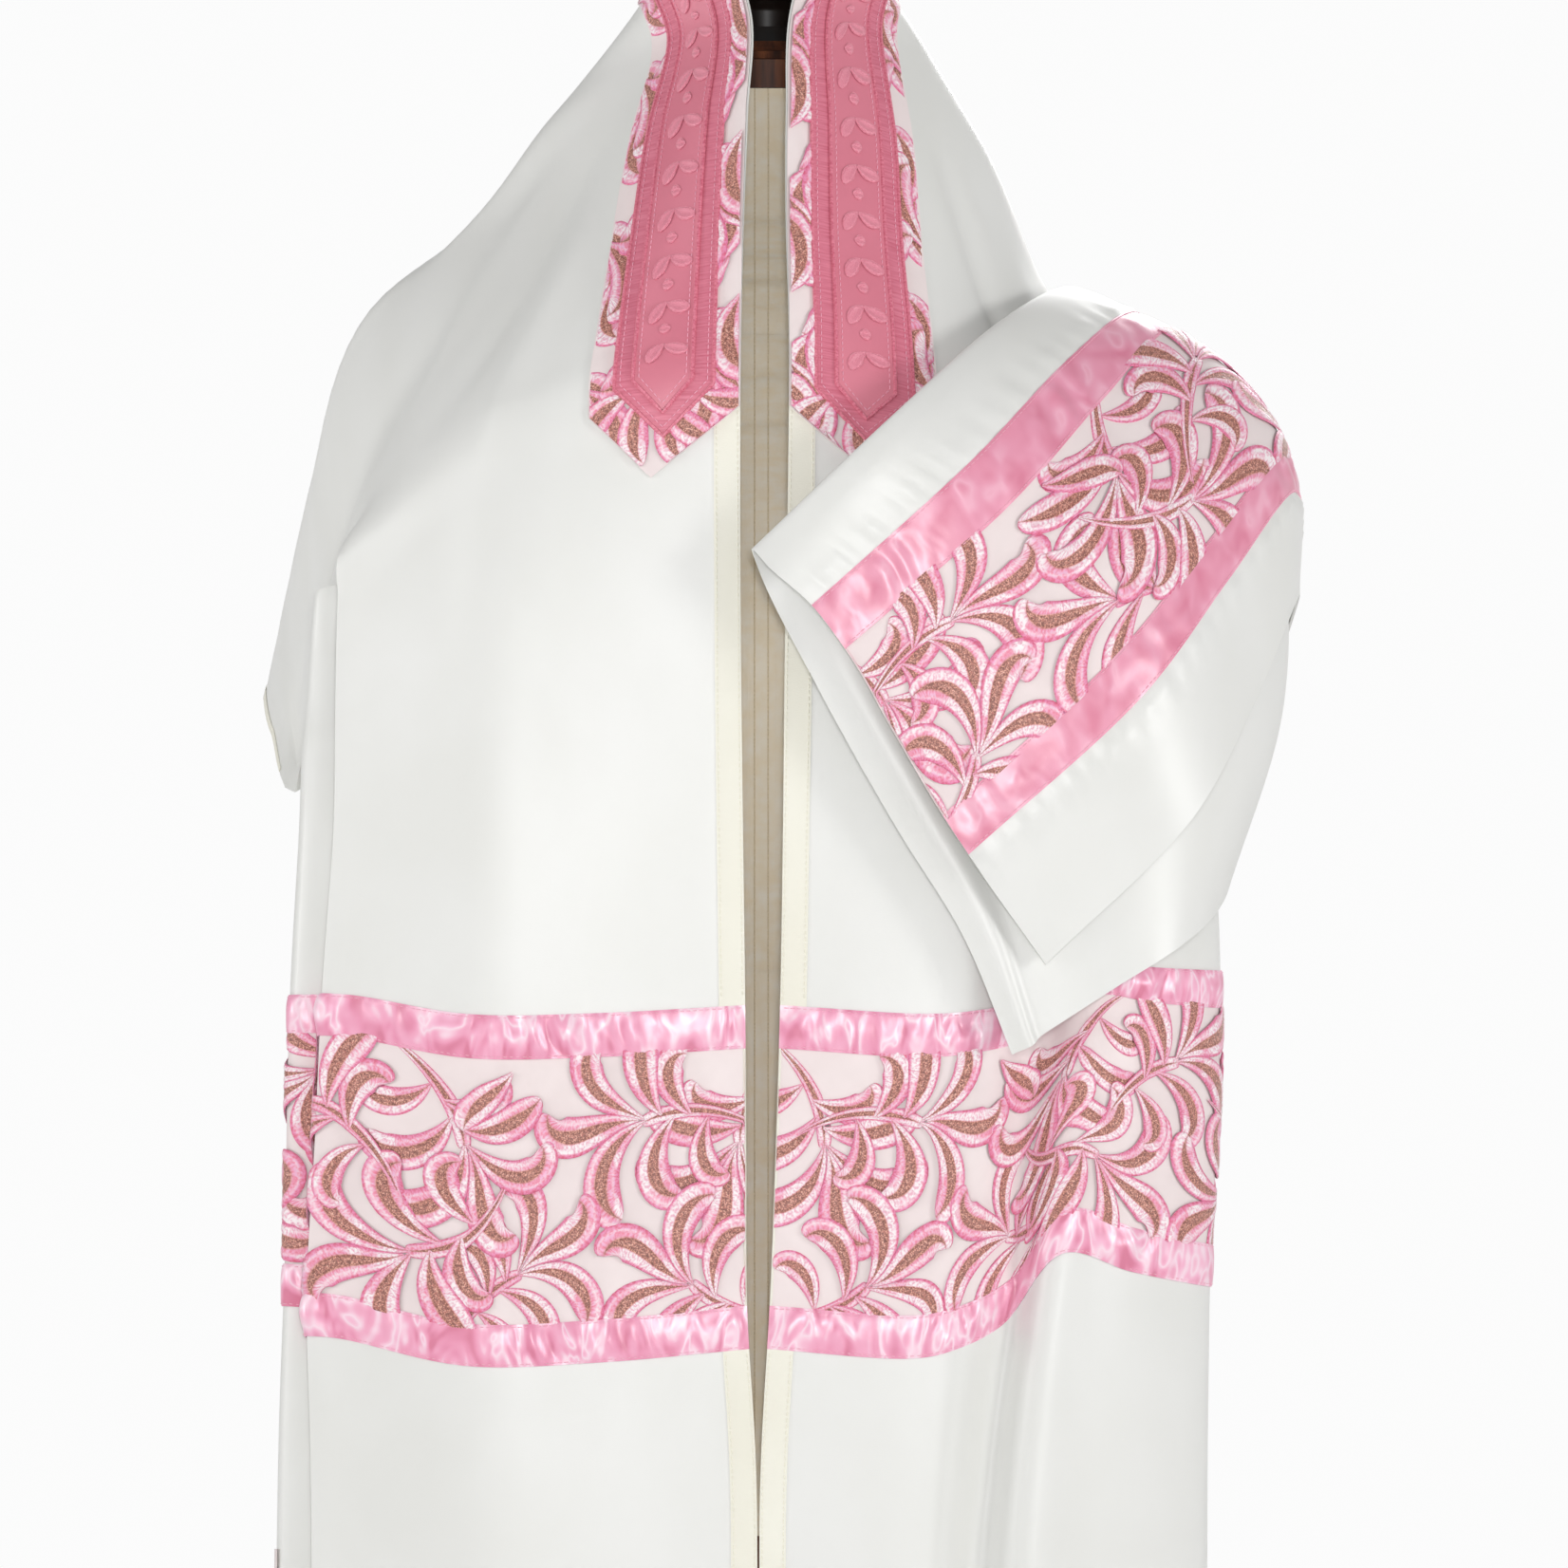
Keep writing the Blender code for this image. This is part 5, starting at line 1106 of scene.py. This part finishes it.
def neckband(sheet):
    """The lace strip round the neck, the satin border and field on it, their piping and stitches and a raised row."""
    strip = shell("neckband_organza", "lace", sheet, *band_rows(*BAND_LACE), LACE_LIFT, LACE_LIFT + BAND_LACE_WALL)
    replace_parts(strip, "neckband_lace")

    def trimmed(along, across):
        return np.sign(along) * np.minimum(np.abs(along), band_end(across, *BAND_LACE) - CUT)

    def under_border(along, across):
        inside = (across > BORDER[0][0] + 0.0003) & (across < BORDER[0][1] - 0.0003)
        return inside & (np.abs(along) < band_end(across, *BORDER))

    vines = embroidery("neckband_embroidery", sheet, lambda along, across: (along, across),
                       (-0.365, 0.365, 0.0038, NECKBAND - 0.0038), neck_leaves(), LACE_LIFT + BAND_LACE_WALL,
                       trim=trimmed, hidden=under_border)
    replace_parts(vines, "neckband_lace")
    pieces = [strip, vines]
    low = LACE_LIFT + 0.0012
    for name, band, look in (("border", BORDER, "rose_ribbed"), ("field", FIELD, "rose_satin")):
        layer = shell(f"neckband_{name}_satin", "rose_satin", sheet, *band_rows(*band, pitch=EDGE_STEP),
                      low, low + SATIN_WALL, look=look)
        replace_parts(layer, f"neckband_{name}")
        cord = cord_along(sheet, *outline(*band), low + 0.0005, PIPING_RADIUS, closed=True)
        rows = stitches(sheet, *outline(*band, inset=0.0028), low + 0.0008)
        pieces += [layer, add_piece(f"neckband_{name}_piping", "rose_satin", *cord, look="piping"),
                   add_piece(f"neckband_{name}_stitches", "rose_satin", *rows, look="pink_thread")]
        low += 0.0008
    return [*pieces, raised_row(sheet, low)]


def neck_leaves():
    """Leaves crowded along the neckband's lace, half hidden under the satin border, and a fan at each end."""
    rows = []
    for number in range(48):
        run = -0.374 + 0.0159 * number
        heading, root, length, bend, blunt = NECK_LEAVES[number % len(NECK_LEAVES)]
        rest = (length, 0.0180, bend, 1.2 * bend, blunt)
        rows += [((run, root), heading, *rest), ((run + 0.008, NECKBAND - root), 180 + heading, *rest)]
    for side in (-1, 1):
        for width, turn in ((0.022, -60), (0.030, 20), (0.037, -24), (0.044, 30), (0.051, 70)):
            rows.append(((side * 0.324, width), turn if side > 0 else 180 - turn, 0.036, 0.014, 34, 50, 0.60))
    return rows


def raised_row(sheet, low):
    """A tonal row of small raised leaves, in pairs with a dot between them, down each end of the neckband."""
    rows = []
    tip_width = FIELD[3]
    for side in (-1, 1):
        for number in range(13):
            run = side * (0.300 - 0.0225 * number)
            rows += [((run, tip_width), flip * (90 - side * 35), 0.0125, 0.0054, 40 * flip, 0, 0.8, flip)
                     for flip in (-1, 1)]
            rows.append(((run - side * 0.0090, tip_width - 0.0027), 90, 0.0056, 0.0046, 0, 0, 0.8))
    return embroidery("neckband_raised_row", sheet, lambda along, across: (along, across), (-0.33, 0.33, 0.02, 0.055),
                      rows, low, slot="rose_satin", look="tonal_thread")


def patch(sheet, side, name, which):
    """A square lace patch at a corner, with its own small fan."""
    first = 0 if which == "inner" else SHAWL_WIDTH - PATCH
    places = grid(side * spaced(HALF - PATCH, HALF, 0.004), spaced(first, first + PATCH, 0.004))
    ground = shell(f"patch_{which}_{name}_organza", "lace", sheet, *places,
                   LACE_LIFT, LACE_LIFT + PATCH_WALL)
    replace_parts(ground, f"patch_{which}_{name}")
    leaves = sprays([(0.026, 0.030, 20, 0.90, 1)], [(0.050, 0.062, 10, 0.03, 0.012, 50, 50, 0.45)])
    motif = embroidery(f"patch_{which}_{name}_embroidery", sheet,
                       lambda along, across: (side * (HALF - PATCH + across), first + along),
                       (0, PATCH, 0.003, PATCH - 0.003), leaves, LACE_LIFT + PATCH_WALL)
    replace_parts(motif, f"patch_{which}_{name}")
    return ground, motif


def tassel(sheet, side, name, which):
    """Cords looped through a corner, wound and knotted, with their free strands."""
    x, y, z = sheet.at([side * HALF], [TASSEL_WIDTHS[which]])[0]
    top = z - 0.0005
    share, turns = np.linspace(0, 1, 120), circle(10)
    knots = np.exp(-((share[:, None] - np.linspace(0.02, 0.98, KNOTS)) / KNOT_LENGTH) ** 2).sum(axis=1)
    winding = np.sin(share * 2 * math.pi * WINDINGS) * (1 - np.minimum(knots, 1))
    radius = (CORE_RADIUS + KNOT_RADIUS * knots + WINDING_DEPTH * winding)[:, None]
    heights = np.repeat((top - TASSEL_HEAD * share)[:, None], len(turns), axis=1)
    head = np.stack([x + radius * np.cos(turns), y + radius * np.sin(turns), heights], axis=2)
    parts = [ringed(head, turns / 6.3, share * TASSEL_HEAD)]
    steps = np.linspace(0, 1, 26)
    for k in range(STRANDS):
        turn = 2 * math.pi * (k + 0.5) / STRANDS
        length = TASSEL_LENGTH - TASSEL_HEAD + 0.006 * math.sin(1.7 * k)
        spread = 0.0016 + 0.0124 * steps**0.7 + 0.002 * math.sin(2.1 * k) * steps
        wave = 0.0012 * np.sin(steps * 9 + 1.9 * k) * steps
        strand = np.stack([
            x + spread * math.cos(turn) + 0.004 * side * steps**2 + wave,
            y + spread * math.sin(turn) + 0.6 * wave,
            top - TASSEL_HEAD - length * steps], axis=1)
        parts.append(tube(strand, STRAND_RADIUS))
    made = add_piece(f"tassel_{which}_{name}_cords", "fringe", *joined(parts))
    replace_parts(made, f"tassel_{which}_{name}")
    return made


# ---------------------------------------------------------------- the folded stretch
def shoulder_stretch():
    """The stretch folded in two over the shoulder: its under leaf, lace and free leaf, ribbons and embroidery."""
    sheet = stretch_sheet()
    end = LEAF_STATIONS[-1]
    (first, first_in), (second, second_out) = LEAF_RIBBONS
    joins = ((first + first_in) / 2, (second + second_out) / 2)
    along = spaced(0, end, 0.003)
    fold = spaced(-0.012, 0.012, 0.001)

    def leaf_cloth(name, node, slot, across, away=None, seed=None):
        places = grid(across, along)
        relief = None if away is None else gathers(places[1], away(places[0]), seed) * (places[0] > 0.004)
        made = shell(name, slot, sheet, *places, -HALF_WALL, HALF_WALL, relief)
        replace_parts(made, node)
        return made

    under_across = np.concatenate([spaced(LEAF_EDGES[0], -0.014, CELL), fold, spaced(0.014, joins[0], CELL)])
    under = leaf_cloth("stretch_under", "shoulder_under_leaf", "ivory_satin", under_across, lambda x: first - x, 5)
    lace = leaf_cloth("stretch_organza", "shoulder_lace", "lace", spaced(*joins, CELL))
    free = leaf_cloth("stretch_free", "shoulder_free_leaf", "ivory_satin", spaced(joins[1], LEAF_EDGES[1], CELL),
                      lambda x: x - second_out, 8)
    upper, lower = [
        ribbon(f"stretch_ribbon_{name}", "", f"shoulder_ribbon_{name}", sheet, 1, edges, end,
               {"seed": seed, "height": 0.0010}, look="smooth_pink_satin")
        for name, edges, seed in (("upper", LEAF_RIBBONS[0], 11), ("lower", LEAF_RIBBONS[1], 23))]
    depth = second - first_in

    def fitted(rows):
        return [(along, across * depth / BAND_DEPTH, *rest) for along, across, *rest in rows]

    rows = sprays([row for row in fitted(BAND_SPRAYS) if row[0] < end], fitted(BAND_LEAVES))
    vines = embroidery("stretch_embroidery", sheet, lambda along, across: (first_in + across, along),
                       (0, end, 0, depth), rows, HALF_WALL)
    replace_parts(vines, "shoulder_lace")


# ---------------------------------------------------------------- the dress form
def torso():
    """The linen-covered form: the part's sections, drawn smooth, with its sewn seams."""
    heights, *sizes = np.array(TORSO)[::-1].T
    fine = np.unique(np.concatenate([np.linspace(TORSO_FOOT_Z, NECK_TOP_Z, 140), heights]))
    half_width, half_depth, centre = [np.interp(fine, heights, size) for size in sizes]
    for values in (half_width, half_depth, centre):
        for _ in range(3):
            values[1:-1] = 0.25 * values[:-2] + 0.5 * values[1:-1] + 0.25 * values[2:]
    turns = circle(FORM_SIDES)
    c, s = [np.sign(part) * np.abs(part) ** (2 / TORSO_SQUARENESS) for part in (np.cos(turns), np.sin(turns))]
    rings = np.stack([half_width[:, None] * c, centre[:, None] + half_depth[:, None] * s,
                      np.repeat(fine[:, None], FORM_SIDES, axis=1)], axis=2)
    body = add_piece("form_cover", "form_linen", *ringed(rings, turns * 0.15, fine))
    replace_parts(body, "form_torso")
    lines = [rings[:, k] for k in (FORM_SIDES // 4, 0, FORM_SIDES // 2)]
    for place in FRONT_SEAMS:
        ahead = (1 - (abs(place) / half_width) ** TORSO_SQUARENESS) ** (1 / TORSO_SQUARENESS)
        lines.append(np.stack([np.full(len(fine), place), centre - half_depth * ahead, fine], axis=1))
    for height in SEAM_HEIGHTS:
        ring = rings[np.abs(fine - height).argmin()]
        lines.append(np.vstack([ring, ring[:1]]))
    add_piece("form_seams", "form_linen", *joined([tube(line, SEAM_RADIUS) for line in lines]), look="seam_thread")


def turned(name, profile, floor_z, look, centre_y):
    """A turned piece from (height, radius) rows, with its corners eased."""
    rows = []
    for start, end in zip(np.array(profile), np.array(profile[1:])):
        rows += [start, start + EASE * (end - start), end - EASE * (end - start)]
    heights, radii = np.array([*rows, profile[-1]]).T[:, :, None]
    turns = circle(FORM_SIDES)
    rings = np.stack([radii * np.cos(turns), centre_y + radii * np.sin(turns),
                      floor_z + np.repeat(heights, FORM_SIDES, axis=1)], axis=2)
    return add_piece(name, "dark_wood", *ringed(rings, turns * 0.05, heights[:, 0]), look=look, sharp=35)


def stand():
    """The neck's cap and knob, and the pole on its base."""
    cap_z = NECK_TOP_Z + JOINT
    pole_z = BASE_HEIGHT + JOINT
    pole = (*POLE_COLLAR, (TORSO_FOOT_Z - JOINT - pole_z, POLE_RADIUS))
    for name, node, profile, floor_z, look, centre_y in (
            ("neck_cap_wood", "form_neck_cap", NECK_CAP, cap_z, None, FORM_Y),
            # The knob's wood is darkened with painted shade.
            ("knob_wood", "form_knob", KNOB, cap_z + NECK_CAP[-1][0] + JOINT, "knob_wood_painted_shade", FORM_Y),
            ("base_wood", "form_base", BASE, 0.0, None, 0.0),
            ("pole_wood", "form_pole", pole, pole_z, None, 0.0)):
        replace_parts(turned(name, profile, floor_z, look, centre_y), node)


# ---------------------------------------------------------------- studio
def camera():
    """Square on to the front, as far off as a portrait lens stands, at the height of the chest."""
    made = bpy.data.cameras.new("camera")
    made.sensor_width = SENSOR
    made.lens = SENSOR * CAMERA_FAR / FRAME_WIDTH
    made.clip_start, made.clip_end = 0.1, 40
    thing = bpy.data.objects.new("camera", made)
    thing.location = (CAMERA_X, CAMERA_FRONT_Y - CAMERA_FAR, CAMERA_Z)
    thing.rotation_euler = (math.pi / 2, 0, 0)
    bpy.context.scene.collection.objects.link(thing)
    bpy.context.scene.camera = thing


def area_light(name, place, size, power):
    """A large soft disk lamp that points at the shawl."""
    made = bpy.data.lights.new(name, "AREA")
    made.shape, made.size, made.energy = "DISK", size, power
    thing = bpy.data.objects.new(name, made)
    thing.location = place
    thing.rotation_euler = (Vector(AIM) - Vector(place)).to_track_quat("-Z", "Y").to_euler()
    bpy.context.scene.collection.objects.link(thing)


def sky():
    """A bright horizon all round, as in a white studio, and a dimmer ceiling."""
    world = bpy.data.worlds.new("studio")
    world.use_nodes = True
    nodes, links = world.node_tree.nodes, world.node_tree.links
    split = nodes.new("ShaderNodeSeparateXYZ")
    links.new(nodes.new("ShaderNodeTexCoord").outputs["Generated"], split.inputs["Vector"])
    seen = nodes.new("ShaderNodeMix")
    seen.data_type = "RGBA"
    links.new(nodes.new("ShaderNodeLightPath").outputs["Is Camera Ray"], seen.inputs[0])
    for socket, walls in ((6, WALLS), (7, HORIZON)):
        ramp = nodes.new("ShaderNodeValToRGB")
        ramp.color_ramp.interpolation = "EASE"
        for element, (place, grey) in zip(ramp.color_ramp.elements, ((0.10, walls), (0.42, CEILING))):
            element.position, element.color = place, (grey, grey, grey, 1.0)
        links.new(split.outputs["Z"], ramp.inputs["Fac"])
        links.new(ramp.outputs["Color"], seen.inputs[socket])
    links.new(seen.outputs[2], nodes["Background"].inputs["Color"])
    bpy.context.scene.world = world


def studio():
    """The sky, the lamps and a pale floor."""
    sky()
    bpy.context.scene.view_settings.view_transform = "Standard"
    for lamp in LAMPS:
        area_light(*lamp)
    mesh = bpy.data.meshes.new("floor")
    rim = [(FLOOR_RADIUS * math.cos(turn), FLOOR_RADIUS * math.sin(turn), 0) for turn in circle(180)]
    mesh.from_pydata(rim, [], [tuple(range(len(rim)))])
    look = toned("floor", 0.8, (3, 3, 3), "e9e9e8", "f0f0ef", (0.3, 0.7), 3.0, "Object")
    mesh.materials.append(look.made)
    floor = bpy.data.objects.new("floor", mesh)
    bpy.context.scene.collection.objects.link(floor)


MATERIALS = make_materials()
camera()
studio()
shawl(shawl_sheet())
shoulder_stretch()
torso()
stand()
